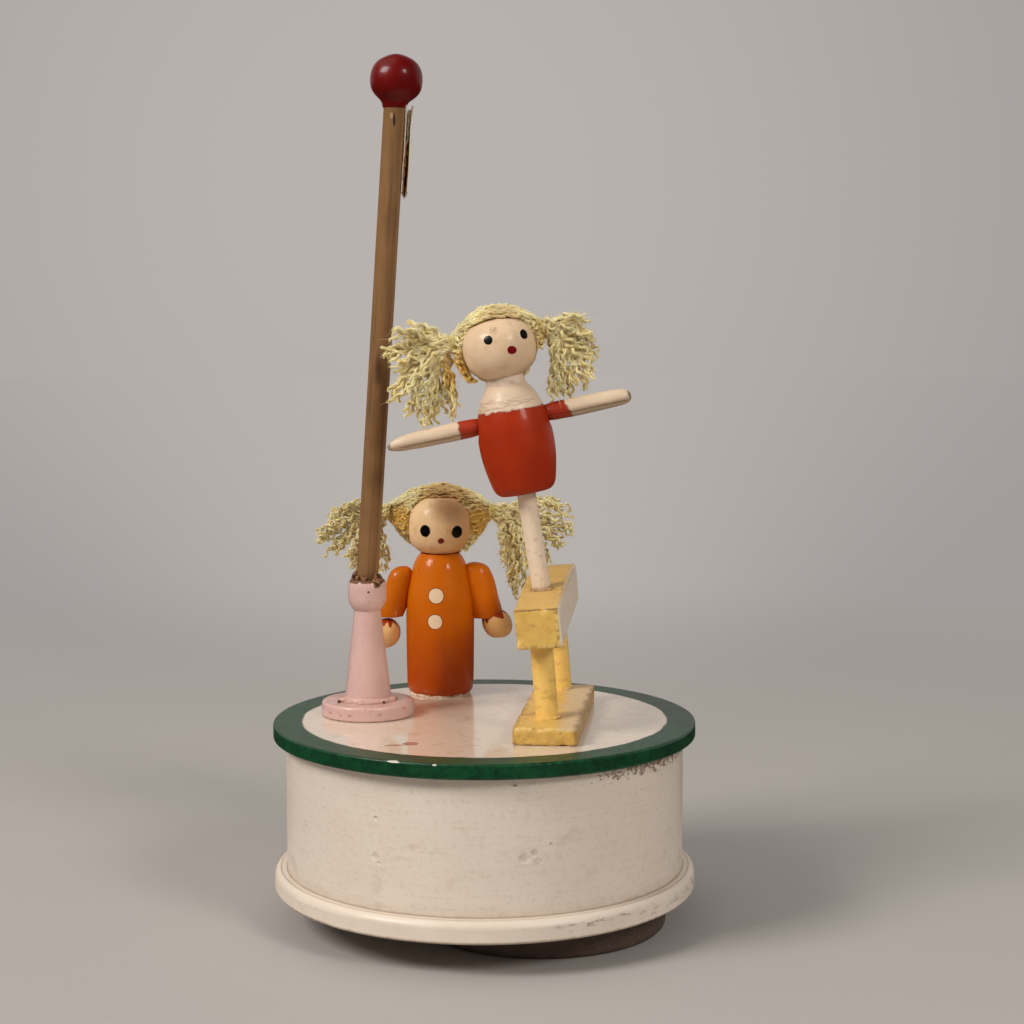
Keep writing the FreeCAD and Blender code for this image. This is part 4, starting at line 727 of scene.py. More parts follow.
def face_paint(name, place, light, dark, eyes, mouth, crack=None, painted_shade=None):
    """Eyes and mouth are (middle, size, how tall). A painted shade is (middle, reach, colour): it darkens
    the right side of the face as painted shade, and lays the colour near the middle, partly a stain from
    the hair and partly painted shade.
    """
    finish = PaintedWood(name, light, dark, place, grain=(3, 3, 1), grain_share=0.15, depth=0.03, rough=0.4,
                         Coat_Weight=0.22, Coat_Roughness=0.13, Specular_IOR_Level=0.15)
    smudge = finish.noise(finish.row, 2.6, detail=5)
    finish.stain(dark, finish.step(smudge, 0.52, 0.72) * 0.8)
    if painted_shade:
        spot, reach, tint = painted_shade
        x, _, _ = finish.xyz(finish.at)
        # Painted shade: the right side of the face is darker.
        finish.stain(paint(186, 126, 68), finish.step(x + smudge * 3, 2.0, 8.0) * 0.6)
        # Darker on the forehead under the hair: partly a stain from the hair, partly painted shade.
        finish.stain(tint, finish.step(finish.away(finish.row, spot) + smudge * 3, reach, reach * 0.4) * 0.8)
    flecks = finish.step(finish.noise(finish.row, 0.7, detail=2), 0.72, 0.76)
    finish.stain(paint(128, 88, 60), flecks * 0.5)
    if crack:
        thread = finish.noise(finish.row, 0.9, detail=3, distortion=1.0)
        line = finish.step(abs(thread - 0.5), 0.04, 0.015) * finish.patch(crack, (1.2, 1.2, 1.2), edge=0.3)
        finish.stain(paint(92, 62, 44), line * 0.85)
    ragged = finish.noise(finish.row, 0.8, detail=2) - 0.5
    dabs = []
    for (spot, size, tall), colour in [(eye, EYE_BLACK) for eye in eyes] + [(mouth, MOUTH_RED)]:
        dabs.append(finish.patch(spot, (size, size * 1.5, size * tall), ragged * 0.25, 0.07))
        finish.stain(colour, dabs[-1])
    raised = most(dabs)
    finish.relief = finish.relief + raised * 1.2
    finish.rough = finish.rough - raised * 0.12
    return finish.done()


gymnast_face = face_paint("gymnast_face", GYMNAST_HEAD, paint(236, 208, 174), paint(212, 178, 142),
                          [((-12.12, -11.78, 137.65), 1.02, 1.05), ((-3.98, -9.49, 138.95), 1.02, 1.15)],
                          ((-6.73, -11.89, 135.4), 1.1, 0.85), crack=(-10.9, -11.3, 140.2))
doll_face = face_paint("doll_face", DOLL_HEAD, paint(250, 216, 172), paint(222, 178, 128),
                       [((-27.88, 31.0, 89.81), 1.36, 1.1), ((-19.95, 31.56, 89.47), 1.42, 1.1)],
                       ((-23.91, 30.57, 87.34), 0.78, 0.95),
                       painted_shade=((-22.2, 31.5, 96.5), 8.0, paint(146, 100, 60)))
dress(gymnast_face, "gymnast_head")
dress(doll_face, "doll_head")
print("faces painted")

# %% [markdown]
# ## The doll's orange
# The doll is sprayed orange all over and has two dabs of cream for buttons, each with a darker line
# round it. The orange is a thick, clear lacquer with a sharp shine, and small knocks show dark in it.

# %% Doll's coat
ORANGE_LIGHT, ORANGE_DARK, ORANGE_LIT = paint(190, 80, 0), paint(156, 48, 0), paint(214, 112, 0)


def orange(name, grain_share):
    """Orange lacquer with painted light: brighter high up on the doll and darker low down."""
    finish = PaintedWood(name, ORANGE_LIGHT, ORANGE_DARK, DOLL, grain=(1, 1, 6), grain_share=grain_share,
                         depth=0.035, rough=0.36, Coat_Weight=0.32, Coat_Roughness=0.1,
                         Specular_IOR_Level=0.12)
    _, _, z = finish.xyz(finish.at)
    # Painted light: brighter high up, darker low down.
    high = finish.step(z + finish.noise(finish.row, 7, detail=2) * 8, 4, 34)
    finish.stain(ORANGE_LIT, high * 0.8)
    return finish


BUTTONS = [((-25.22, 30.18, 73.63), 1.9), ((-25.5, 29.83, 67.15), 1.82)]


def doll_coat():
    finish = orange("doll_orange", grain_share=0.2)
    wave = finish.noise(finish.row, 0.8, detail=2)
    for spot, size in BUTTONS:
        gap = finish.away(finish.row, spot) + wave * 0.25
        finish.stain(paint(120, 40, 4), finish.step(gap, size + 0.36, size + 0.18))
        finish.stain(paint(236, 210, 176), finish.step(gap, size + 0.14, size + 0.02))
    knocks = finish.step(finish.noise(finish.row, 1.5, detail=3), 0.70, 0.73)
    finish.stain(paint(132, 44, 6), knocks * 0.6)
    return finish.done()


dress(doll_coat(), "doll_body")
print("doll painted")

# %% [markdown]
# ## Metal, plastic, paper
# Inside the drum sits a small clockwork with a comb. It is brass, steel and a cast base, each with
# fine machining lines and a little tarnish. The paper flag is edge-on to the camera, and the glue
# that held it has gone brown.


# %% Clockwork finishes
def metal(name, light, dark, rough, stretch=(1, 1, 1), size=0.4):
    finish = Finish(name, Metallic=1.0)
    lines = finish.noise(finish.mm(stretch=stretch), size, detail=3)
    tarnish = finish.noise(finish.mm(), 3.5, detail=4)
    colour = finish.mix(light, dark, finish.step(tarnish, 0.4, 0.75))
    return finish.feed(Base_Color=colour, Roughness=rough + 0.16 * lines, Normal=finish.bump(lines, 0.012))


def fly_plastic():
    finish = Finish("fly_plastic")
    speckle = finish.noise(finish.mm(), 0.5, detail=3)
    colour = finish.mix(paint(34, 34, 36), paint(52, 50, 50), speckle)
    return finish.feed(Base_Color=colour, Roughness=0.42 + 0.12 * speckle, Normal=finish.bump(speckle, 0.015))


dress(metal("turned_brass", paint(206, 172, 96), paint(160, 120, 58), 0.26, (1, 1, 6)), "note_cylinder",
      "cylinder_pinion", "great_wheel", "governor_pinion", "governor_wheel", "crown_wheel", "foot_insert")
dress(metal("plain_steel", paint(178, 178, 176), paint(128, 126, 122), 0.3, (1, 6, 1)), "winding_arbor",
      "cylinder_arbor", "governor_arbor", "worm_shaft", "board_screws", "movement_screws", "comb_screws",
      "bracket_screws", "bearing_bracket_inner", "bearing_bracket_outer", "governor_frame",
      "spring_housing")
dress(metal("spring_steel", paint(120, 124, 134), paint(84, 86, 96), 0.24, (8, 8, 1)), "mainspring", "comb")
dress(metal("cast_alloy", paint(156, 156, 154), paint(120, 120, 118), 0.46, (1, 1, 1), 0.8), "bedplate")
dress(fly_plastic(), "fly")
print("clockwork finished")


# %% Paper and glue
def flag_paper():
    finish = Finish("flag_paper", Specular_IOR_Level=0.2, Subsurface_Weight=0.5, Subsurface_Scale=0.0006,
                    Subsurface_Radius=(1, 0.9, 0.8))
    fibre = finish.noise(finish.mm(ON_SOCKET, stretch=(1, 3, 1)), 0.35, detail=4)
    age = finish.noise(finish.mm(ON_SOCKET), 4, detail=5)
    colour = finish.mix(paint(228, 216, 198), paint(204, 184, 156), age)
    colour = finish.mix(colour, paint(122, 88, 60), finish.step(age, 0.56, 0.68) * 0.6)
    colour = finish.mix(colour, paint(178, 156, 124), finish.step(fibre, 0.6, 0.8) * 0.5)
    return finish.feed(Base_Color=colour, Roughness=0.75 + 0.1 * fibre, Normal=finish.bump(fibre, 0.03))


def old_glue(name, light, dark, rough, size=1.1, **shader_values):
    finish = Finish(name, **shader_values)
    lump = finish.noise(finish.mm(), size, detail=4)
    colour = finish.mix(light, dark, finish.step(lump, 0.35, 0.65))
    return finish.feed(Base_Color=colour, Roughness=rough + 0.25 * lump, Normal=finish.bump(lump, 0.12))


brown_glue = old_glue("brown_glue", paint(96, 56, 32), paint(48, 26, 16), 0.5, Specular_IOR_Level=0.3)
torn_wood = old_glue("torn_wood", paint(150, 104, 68), paint(62, 40, 28), 0.7, 0.8, Specular_IOR_Level=0.2)
pale_glue = old_glue("pale_glue", paint(222, 198, 170), paint(186, 146, 112), 0.3, Coat_Weight=0.2)
paper = flag_paper()
dress(paper, "flag")
dress(brown_glue, "flag_glue", "socket_glue")
print("paper and glue finished")

# %% [markdown]
# ## Drawing new pieces
# Some pieces of the real toy are too irregular for CAD, so this lesson draws them again. A round
# piece starts as one filled circle, which is extruded and resized ring after ring, as by hand in edit
# mode. It is drawn upright in the figure's own frame, where its sizes are easy to read, and is then
# carried to its place. A little noise along the normals makes it look handmade.


# %% Drawing
def select_none():
    bpy.ops.object.select_all(action="DESELECT")


def alone(piece):
    """Selects one piece and makes it active."""
    select_none()
    piece.select_set(True)
    bpy.context.view_layer.objects.active = piece
    return piece


def drawn(name, rings, sides=32):
    """A closed round body. Each ring is (centre, radius across X, radius across Y), in millimetres."""
    select_none()
    centre, wide, deep = rings[0]
    bpy.ops.mesh.primitive_circle_add(vertices=sides, radius=MM, fill_type="NGON",
                                      location=Vector(centre) * MM)
    piece = bpy.context.object
    piece.name = name
    bpy.ops.object.mode_set(mode="EDIT")
    bpy.ops.mesh.select_all(action="SELECT")
    bpy.ops.transform.resize(value=(wide, deep, 1), center_override=Vector(centre) * MM)
    for (before, old_wide, old_deep), (centre, wide, deep) in zip(rings, rings[1:]):
        step = (Vector(centre) - Vector(before)) * MM
        bpy.ops.mesh.extrude_region_move(TRANSFORM_OT_translate={"value": step})
        bpy.ops.transform.resize(value=(wide / old_wide, deep / old_deep, 1),
                                 center_override=Vector(centre) * MM)
    bpy.ops.mesh.select_all(action="SELECT")
    bpy.ops.mesh.normals_make_consistent(inside=False)
    bpy.ops.object.mode_set(mode="OBJECT")
    return piece


def upright(profile):
    """Round rings on one upright axis. The profile is a row of (height, radius)."""
    return [((0, 0, z), radius, radius) for z, radius in profile]


# %% Working a piece
def worked(piece, kind, **settings):
    """Adds a modifier to a piece and applies it."""
    alone(piece)
    modifier = piece.modifiers.new("work", kind)
    for name, value in settings.items():
        setattr(modifier, name, value)
    bpy.ops.object.modifier_apply(modifier=modifier.name)
    return piece


def smooth(piece, levels=1):
    if levels:
        worked(piece, "SUBSURF", levels=levels, render_levels=levels)
    alone(piece)
    bpy.ops.object.shade_smooth()
    return piece


def settled(piece, place):
    """Carries a piece from its figure's frame to its place, and keeps the place in its mesh."""
    alone(piece)
    bpy.ops.object.transform_apply(location=True, rotation=True, scale=True)
    piece.data.transform(Matrix.Translation(place.translation * MM) @ place.to_3x3().to_4x4())
    return piece


def roughened(piece, size, depth, seed):
    """Moves each vertex along its normal by noise of the given grain size and depth."""
    for vertex in piece.data.vertices:
        shift = noise.noise(vertex.co / (size * MM) + Vector((seed, 2 * seed, 3 * seed)))
        vertex.co += vertex.normal * shift * depth * MM
    return piece


# %% Joining and hanging
def joined(name, *pieces):
    select_none()
    for piece in pieces:
        piece.select_set(True)
    bpy.context.view_layer.objects.active = pieces[0]
    if len(pieces) > 1:
        bpy.ops.object.join()
    piece = bpy.context.object
    piece.name = name
    piece.data.name = name
    return piece


def triangles(piece):
    return sum(len(face.vertices) - 2 for face in piece.data.polygons)


def hang(piece, name, finish, slot, *nodes, body="case"):
    """Gives a new piece its name, finish and body, and hides the solids that it stands for."""
    piece.name = piece.data.name = name
    piece.data.materials.clear()
    piece.data.materials.append(finish.material)
    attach(piece, body)
    if nodes:
        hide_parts(*nodes)
    print(piece.name, triangles(piece), "triangles")
    return piece


# %% [markdown]
# ### The red bead
# The bead on the pole was turned with a short neck, then dipped, and the last drop dried on its top.

# %% Bead
BEAD_PROFILE = [(110.3, 2.4), (111.0, 2.5), (111.1, 2.9), (112.2, 3.0), (112.8, 3.6), (113.8, 5.0),
                (115.25, 6.05), (117.0, 6.3), (118.6, 6.25), (119.8, 5.9), (121.0, 5.2), (122.0, 4.2),
                (122.8, 2.9), (123.35, 1.4), (123.45, 0.5)]


def bead_red():
    finish = PaintedWood("bead_red", paint(114, 8, 4), paint(92, 3, 3), ON_SOCKET, grain=(1, 1, 3),
                         grain_share=0.2, depth=0.05, rough=0.34, Coat_Weight=0.3, Coat_Roughness=0.16,
                         Specular_IOR_Level=0.12)
    return finish.done()


bead = roughened(smooth(drawn("dipped_bead", upright(BEAD_PROFILE))), size=4.5, depth=0.2, seed=3)
hang(settled(bead, ON_SOCKET), "dipped_bead", bead_red(), "red_wood", "pole_bead")

# %% [markdown]
# ### The doll's sleeves and hands
# Each sleeve is a bell that hangs from the shoulder and leans outward, and a bead of bare wood sits
# in its mouth as a hand. The sleeve is drawn from the shoulder down, and its last rings turn
# back into the bell, so that the hem has a thin lip.


# %% Sleeves
RIGHT_BELL = [(9.1, 33.25, 0.9), (9.1, 33.1, 1.9), (9.2, 32.4, 3.0), (9.35, 31.1, 3.6), (9.8, 28.6, 3.95),
              (10.3, 26.1, 4.1), (10.9, 23.5, 4.2), (11.4, 21.3, 4.15), (11.8, 20.0, 4.0), (12.0, 19.0, 3.85)]
LEFT_BELL = [(9.3, 32.3, 0.8), (9.4, 32.0, 1.7), (9.6, 31.2, 2.6), (9.9, 30.0, 3.1), (10.3, 28.6, 3.25),
             (10.9, 26.1, 3.4), (11.5, 23.5, 3.45), (12.0, 21.2, 3.35), (12.3, 19.9, 3.15), (12.4, 19.3, 3.0)]
RIGHT_SLOPE, LEFT_SLOPE = 0.34, -0.1


def bell(side, rings, lip=0.5):
    """A sleeve from the shoulder down. Each ring is (outward, height, radius)."""
    body = [((side * x, 0, z), r, r * 0.87) for x, z, r in rings]
    x, z, r = rings[-1]
    inside = [((side * x, 0, z + lip), r * 0.84, r * 0.72),
              ((side * (x - 0.1), 0, z + 1.6), r * 0.6, r * 0.5)]
    return smooth(drawn("sleeve", body + inside))


def tilted_hem(piece, side, x, z, slope, reach=3.0):
    """Slopes the mouth of a sleeve: what lies near the hem moves up with its distance outward."""
    for vertex in piece.data.vertices:
        near = max(0.0, 1 - abs(vertex.co.z / MM - z) / reach)
        vertex.co.z += slope * (side * vertex.co.x - x * MM) * near
    return piece


sleeve_finish = orange("doll_sleeve_orange", grain_share=0.12).done()
for name, side, rings, slope, seed in (("right", 1, RIGHT_BELL, RIGHT_SLOPE, 5),
                                       ("left", -1, LEFT_BELL, LEFT_SLOPE, 6)):
    hem_x, hem_z, _ = rings[-1]
    sleeve = tilted_hem(bell(side, rings), side, hem_x, hem_z, slope)
    sleeve = roughened(sleeve, size=3.5, depth=0.2, seed=seed)
    hang(settled(sleeve, DOLL), "doll_sleeve_" + name, sleeve_finish, "doll_arm_wood", "doll_arm_" + name)


# %% Hands
def hand(side, x, z, radius=3.9):
    """A flattened bead with a small dimple below. Its profile is given in shares of its radius."""
    profile = [(-0.88, 0.12), (-0.96, 0.3), (-0.9, 0.52), (-0.68, 0.8), (-0.3, 0.97), (0.05, 1.0),
               (0.45, 0.92), (0.8, 0.62), (0.96, 0.25)]
    rings = [((side * (x - 0.12 * h * radius), 0, z + h * radius), r * radius, r * radius)
             for h, r in profile]
    return smooth(drawn("hand", rings))


def hand_paint():
    """Bare wood below, and above it the orange that ran down from the sleeve in pointed drops."""
    finish = PaintedWood("doll_hand_paint", paint(240, 196, 136), paint(222, 170, 106), DOLL, grain=(1, 1, 6),
                         grain_share=0.3, depth=0.04, rough=0.34, Coat_Weight=0.3, Coat_Roughness=0.14,
                         Specular_IOR_Level=0.3)
    x, y, z = finish.xyz(finish.at)
    for side, hem_x, hem_z, slope in ((1, 12.0, 18.7, RIGHT_SLOPE), (-1, 12.4, 17.7, LEFT_SLOPE)):
        around = y.worked("ARCTAN2", y, x * side - hem_x) * 2.4
        teeth = y.worked("PINGPONG", around + finish.noise(finish.at, 2.5, detail=1) * 1.5, 1.0)
        cuff = finish.step(z - (x * side - hem_x) * slope + teeth * 1.7, hem_z + 0.75, hem_z + 0.95)
        finish.stain(ORANGE_DARK, cuff * finish.step(x * side, 0, 1))
    return finish.done()


hand_finish = hand_paint()
for name, side, x, z in (("doll_hand_right", 1, 14.4, 17.8), ("doll_hand_left", -1, 13.9, 15.3)):
    piece = roughened(hand(side, x, z), size=3, depth=0.14, seed=side)
    hang(settled(piece, DOLL), name, hand_finish, "doll_arm_wood")

# %% [markdown]
# ### The gymnast's arms
# The arms are sticks whose ends were whittled down, with a groove along them from an old split.
# Each is one drawn body laid on its side. The red sleeves reach a little way along them.


# %% Paint on the arms
ON_ARMS = GYMNAST @ moved(0, 0, 17.0) @ turned("Y", -1.3)


def arm_paint(name, side, sleeve_end, tip):
    """Bare wood with a groove, a dirty tip and painted shade along its lower half, and red paint as far out as
    the sleeve's end.
    """
    finish = PaintedWood(name, paint(234, 212, 186), paint(208, 182, 152), GYMNAST, grain=(14, 1, 1),
                         grain_share=0.5, depth=0.06, rough=0.42, Coat_Weight=0.2, Coat_Roughness=0.2,
                         Specular_IOR_Level=0.3)
    x, _, z = finish.xyz(finish.mm(ON_ARMS))
    reach = x * side
    wave = finish.noise(finish.at, 1.6, detail=3)
    fine = finish.noise(finish.mm(GYMNAST, stretch=(8, 1, 1)), 0.9, detail=3)
    groove = finish.step(abs(z + 0.75 + fine * 0.5), 0.26, 0.08) * finish.step(reach, 27.2, 26.0)
    ridge = finish.step(abs(z + 1.35 + fine * 0.5), 0.35, 0.1) * finish.step(reach, 26.8, 25.0)
    finish.stain(paint(232, 214, 190), ridge * 0.7)
    finish.stain(paint(84, 56, 40), groove * 0.95)
    finish.stain(paint(96, 70, 54), finish.step(reach + wave * 0.6, tip - 0.7, tip - 0.1) * 0.8)
    # Painted shade: the lower half of the arm is darker.
    finish.stain(paint(176, 148, 118), finish.step(z - fine * 0.8, -0.2, -1.2) * 0.7)
    cut = reach + wave * 1.4 + z * 0.4 * (side > 0)
    sleeve = finish.step(cut, sleeve_end + 0.85, sleeve_end + 0.55)
    finish.stain(finish.mix(RED_LIGHT, RED_DARK, finish.cloud), sleeve)
    finish.stain(paint(104, 26, 10), finish.step(abs(cut - sleeve_end - 0.75), 0.3, 0.05) * 0.6)
    finish.relief = finish.relief - groove * 2.5 + sleeve * 0.5
    return finish.done()


# %% Arms
LEFT_ARM = [(5.0, 2.2, 0), (14.0, 2.15, 0), (23.0, 2.0, 0), (25.6, 1.8, 0.05), (27.4, 1.45, 0.15),
            (28.6, 1.0, 0.3), (29.2, 0.6, 0.38), (29.45, 0.25, 0.42)]
RIGHT_ARM = [(5.0, 2.2, 0), (14.0, 2.15, 0), (22.0, 2.1, 0), (24.5, 2.0, 0), (26.0, 1.85, 0.05),
             (27.0, 1.55, 0.1), (27.6, 1.05, 0.12), (27.85, 0.5, 0.14)]


def arm(side, rings):
    """An upright stick from the shoulder to the tip. Each ring is (distance out, radius, drop)."""
    stick = smooth(drawn("arm", [((drop * side, 0, out), r, r * 0.97) for out, r, drop in rings]))
    return roughened(stick, size=3.0, depth=0.12, seed=side)


for side_name, side, rings, sleeve_end in (("left", -1, LEFT_ARM, 12.3), ("right", 1, RIGHT_ARM, 12.9)):
    name = "stick_arm_" + side_name
    stick = settled(arm(side, rings), ON_ARMS @ turned("Y", 90 * side))
    wood = arm_paint(name + "_paint", side, sleeve_end, tip=rings[-1][0])
    hang(stick, name, wood, "gymnast_arm_wood", "gymnast_arm_" + side_name)

# %% [markdown]
# ### The gymnast's head
# The head is a wooden bead on the neck. Its profile follows a rounded square, because such beads are
# turned with a flat at each end. A collar of thick paint joins the bead to the neck.


# %% Head bead
def bead_profile(radius, low, high, squareness=2.45, count=13):
    """A rounded square as a row of (height, radius). A squareness of 2 would be a ball."""
    middle, half = (low + high) / 2, (high - low) / 2
    profile = []
    for n in range(count):
        level = -math.cos(math.pi * (n + 0.5) / count)
        share = max(0.2, (1 - abs(level) ** squareness) ** (1 / squareness))
        profile.append((middle + half * level, radius * share))
    return profile


head_bead = smooth(drawn("head", upright(bead_profile(radius=8.75, low=1.2, high=15.4)), sides=40))
head_bead = settled(roughened(head_bead, size=9, depth=0.25, seed=7), GYMNAST_HEAD)
hang(head_bead, "gymnast_head_bead", gymnast_face, "face_wood", "gymnast_head")


# %% Collar
COLLAR_PROFILE = [(-1.2, 4.3), (-0.6, 4.75), (0.4, 4.5), (1.4, 4.4), (2.6, 4.3)]


def collar_paint():
    finish = Finish("collar_paint", Specular_IOR_Level=0.3)
    cloud = finish.noise(finish.mm(GYMNAST), 2.5, detail=5)
    colour = finish.mix(SKIN_LIGHT, paint(196, 164, 134), finish.step(cloud, 0.45, 0.75))
    return finish.feed(Base_Color=colour, Roughness=0.36 + 0.2 * cloud, Normal=finish.bump(cloud, 0.08))


collar = settled(smooth(drawn("collar", upright(COLLAR_PROFILE))), GYMNAST_HEAD)
hang(collar, "gymnast_neck_collar", collar_paint(), "skin_wood")

# %% [markdown]
# ### The paper flag
# The flag is one strip of paper, folded in half and glued to the pole where its two ends meet. Here a
# narrow plane is extruded step by step along the strip's path, seen from above, so the paper bends
# where it was folded and swells where the glue holds it open. Solidify gives it its thickness. Between
# its ends go two ragged lumps of brown glue, painted lighter as light in the shade between the plies,
# and above them a paler lump like old paste, which stands in for the light inside the fold.

# %% Flag
PAPER_PATH = [(2.78, -1.2), (2.70, 0.6), (2.62, 3.0), (2.74, 8.0), (2.98, 15.0), (3.12, 22.0), (3.2, 26.6),
              (3.38, 27.6), (3.56, 26.6), (3.66, 22.0), (3.78, 15.0), (3.9, 8.0), (4.0, 3.0), (4.1, 0.6),
              (4.12, -1.2)]
FLAG_LOW, FLAG_HIGH = 91.8, 111.9


def paper_strip():
    """The strip's first edge is one side of a plane; the rest is extruded along the path."""
    select_none()
    bpy.ops.mesh.primitive_plane_add(size=MM)
    piece = bpy.context.object
    (x, y), (next_x, next_y) = PAPER_PATH[0], PAPER_PATH[1]
    corners = [(x, y, FLAG_LOW), (x, y, FLAG_HIGH), (next_x, next_y, FLAG_LOW), (next_x, next_y, FLAG_HIGH)]
    for vertex, corner in zip(piece.data.vertices, corners):
        vertex.co = Vector(corner) * MM
    for edge in piece.data.edges:
        edge.select = set(edge.vertices) == {2, 3}
    for vertex in piece.data.vertices:
        vertex.select = vertex.index in (2, 3)
    for face in piece.data.polygons:
        face.select = False
    bpy.ops.object.mode_set(mode="EDIT")
    bpy.ops.mesh.select_mode(type="EDGE")
    for (x, y), (next_x, next_y) in zip(PAPER_PATH[1:], PAPER_PATH[2:]):
        step = ((next_x - x) * MM, (next_y - y) * MM, 0)
        bpy.ops.mesh.extrude_region_move(TRANSFORM_OT_translate={"value": step})
    bpy.ops.mesh.select_all(action="SELECT")
    bpy.ops.mesh.subdivide(number_cuts=3)
    bpy.ops.object.mode_set(mode="OBJECT")
    return piece


FLAG_TURN = ON_SOCKET @ turned("Z", 2.4)
strip = roughened(paper_strip(), size=5.0, depth=0.22, seed=8)
alone(worked(strip, "SOLIDIFY", thickness=0.3 * MM, offset=0))
bpy.ops.object.shade_smooth_by_angle(angle=math.radians(40))
hang(settled(strip, FLAG_TURN), "folded_flag", paper, "flag_paper", "flag")


# %% Glue in the flag
def glue_plug(height, thick, wide, low, out):
    """An upright lump of glue that swells and shrinks on its way up, beside the pole's middle."""
    back, steps = 0.3, 8
    rings = [((out, back, low - 0.2), 0.15, 0.3)]
    for n in range(steps + 1):
        swell = 0.75 + 0.3 * math.sin(n * 2.1 + low)
        middle = (out + 0.12 * math.sin(n * 1.7), back, low + height * n / steps)
        rings.append((middle, thick * swell, wide * swell))
    rings.append(((out, back, low + height + 0.4), 0.12, 0.3))
    return smooth(drawn("glue", rings, sides=16))


lower = glue_plug(height=5.4, thick=0.2, wide=1.0, low=92.4, out=3.05)
upper = glue_plug(height=5.0, thick=0.24, wide=1.0, low=98.2, out=3.15)
glue = roughened(joined("glue", lower, upper), size=0.8, depth=0.22, seed=9)
# The same brown glue as elsewhere, painted much lighter to stand in for light in the shade between the plies.
flag_glue_lightened = old_glue("flag_glue_lightened", paint(196, 132, 90), paint(150, 90, 56), 0.5, Specular_IOR_Level=0.3)
hang(settled(glue, FLAG_TURN), "flag_glue_lumps", flag_glue_lightened, "glue", "flag_glue")
# A pale lump dressed as old paste: it is painted light, standing in for the light seen inside the fold.
pale_paste_as_light = old_glue("pale_paste_as_light", paint(196, 184, 172), paint(166, 146, 126), 0.7, 0.8,
                     Specular_IOR_Level=0.2)
paste = glue_plug(height=7.2, thick=0.42, wide=0.9, low=103.4, out=3.4)
paste = settled(roughened(paste, size=0.8, depth=0.12, seed=10), FLAG_TURN)
hang(paste, "flag_pale_fill", pale_paste_as_light, "glue")

# %% [markdown]
# ### The toy horse
# The horse is a beam on two posts over a board. Both bars were sawn, sanded by hand and painted, and
# the beam's upper side rises a little to a flat middle. So each starts as a cube, and the beam's is cut
# across where its top bends. Then the edges are rounded, and the bar is remeshed finely enough to
# carry knocks.


# %% Sawing
def sawn(name, low, high, edge, grain, cuts=(), rise=0.0):
    """A block between two corners. Its top is lifted between the two cuts across it."""
    low, high = Vector(low) * MM, Vector(high) * MM
    select_none()
    bpy.ops.mesh.primitive_cube_add(size=1, location=(low + high) / 2, scale=high - low)
    piece = bpy.context.object
    piece.name = name
    bpy.ops.object.transform_apply(location=True, rotation=True, scale=True)
    if cuts:
        bpy.ops.object.mode_set(mode="EDIT")
        for cut in cuts:
            bpy.ops.mesh.select_all(action="SELECT")
            bpy.ops.mesh.bisect(plane_co=(0, cut * MM, 0), plane_no=(0, 1, 0))
        bpy.ops.mesh.select_mode(type="VERT")
        bpy.ops.mesh.select_all(action="DESELECT")
        bpy.ops.object.mode_set(mode="OBJECT")
        for vertex in piece.data.vertices:
            on_cut = any(abs(vertex.co.y - cut * MM) < 0.01 * MM for cut in cuts)
            vertex.select = on_cut and vertex.co.z > high.z - 0.01 * MM
        bpy.ops.object.mode_set(mode="EDIT")
        bpy.ops.transform.translate(value=(0, 0, rise * MM))
        bpy.ops.object.mode_set(mode="OBJECT")
    worked(piece, "BEVEL", width=edge * MM, segments=3, limit_method="ANGLE", angle_limit=math.radians(50))
    worked(piece, "REMESH", mode="VOXEL", voxel_size=grain * MM)
    return smooth(piece, 0)


def knocked(piece, spots):
    """Presses dents into a piece: each spot is (place, reach, depth), in the piece's own frame."""
    for vertex in piece.data.vertices:
        for place, reach, depth in spots:
            share = 1 - (vertex.co / MM - Vector(place)).length / reach
            if share > 0:
                vertex.co -= vertex.normal * min(1, share * 1.6) * depth * MM
    return piece


# %% Beam
def beam_yellow():
    finish = horse_yellow("horse_beam_yellow", ON_BEAM, (9.7, 51, 9.4))
    x, y, z = finish.xyz(finish.at)
    ragged = finish.noise(finish.at, 1.2, detail=4)
    # The right side is bare pale wood, painted paler still to stand in for light falling on it.
    finish.stain(paint(248, 232, 212), finish.step(x - ragged * 0.4, 4.7, 5.0) * 0.9)
    front_edge = finish.step(abs(z + ragged * 0.5 - 9.0), 0.35, 0.1) * finish.step(y, 0.6, 0.2)
    finish.stain(paint(104, 72, 36), front_edge * 0.75)
    # The top face is darker: partly duller paint, partly painted shade.
    finish.stain(paint(206, 164, 96), finish.step(z, 8.7, 9.0) * 0.5)
    crack = finish.step(abs(y + ragged * 2.0 - 16.6), 0.22, 0.05) * finish.step(z, 8.6, 9.2)
    finish.stain(paint(96, 66, 40), crack * 0.8)
    ring = finish.step(finish.radius(ON_BEAM @ moved(0, LEG_ALONG, 0)) + ragged, 3.5, 2.9)
    finish.stain(paint(142, 98, 54), ring * finish.step(z, 9, 9.4) * 0.8)
    finish.relief = finish.relief - crack * 2
    return finish.done()


BEAM_KNOCKS = [((-4.85, 0, 2.2), 1.5, 0.35), ((4.85, 0, 7.6), 1.2, 0.3), ((4.85, 12, 9.2), 1.6, 0.4),
               ((-4.85, 26, 9.9), 1.4, 0.35), ((1.8, 0, 8.9), 1.2, 0.3), ((4.85, 33, 0), 1.8, 0.4)]
beam = sawn("beam", (-4.9, -0.1, -0.4), (5.4, 51, 9.1), cuts=(20, 40.4), rise=0.95, edge=0.55, grain=0.45)
beam = roughened(beam, size=6, depth=0.14, seed=10)
beam = knocked(roughened(beam, size=1.6, depth=0.1, seed=11), BEAM_KNOCKS)
hang(settled(beam, ON_BEAM), "sanded_beam", beam_yellow(), "yellow_wood", "horse_beam")


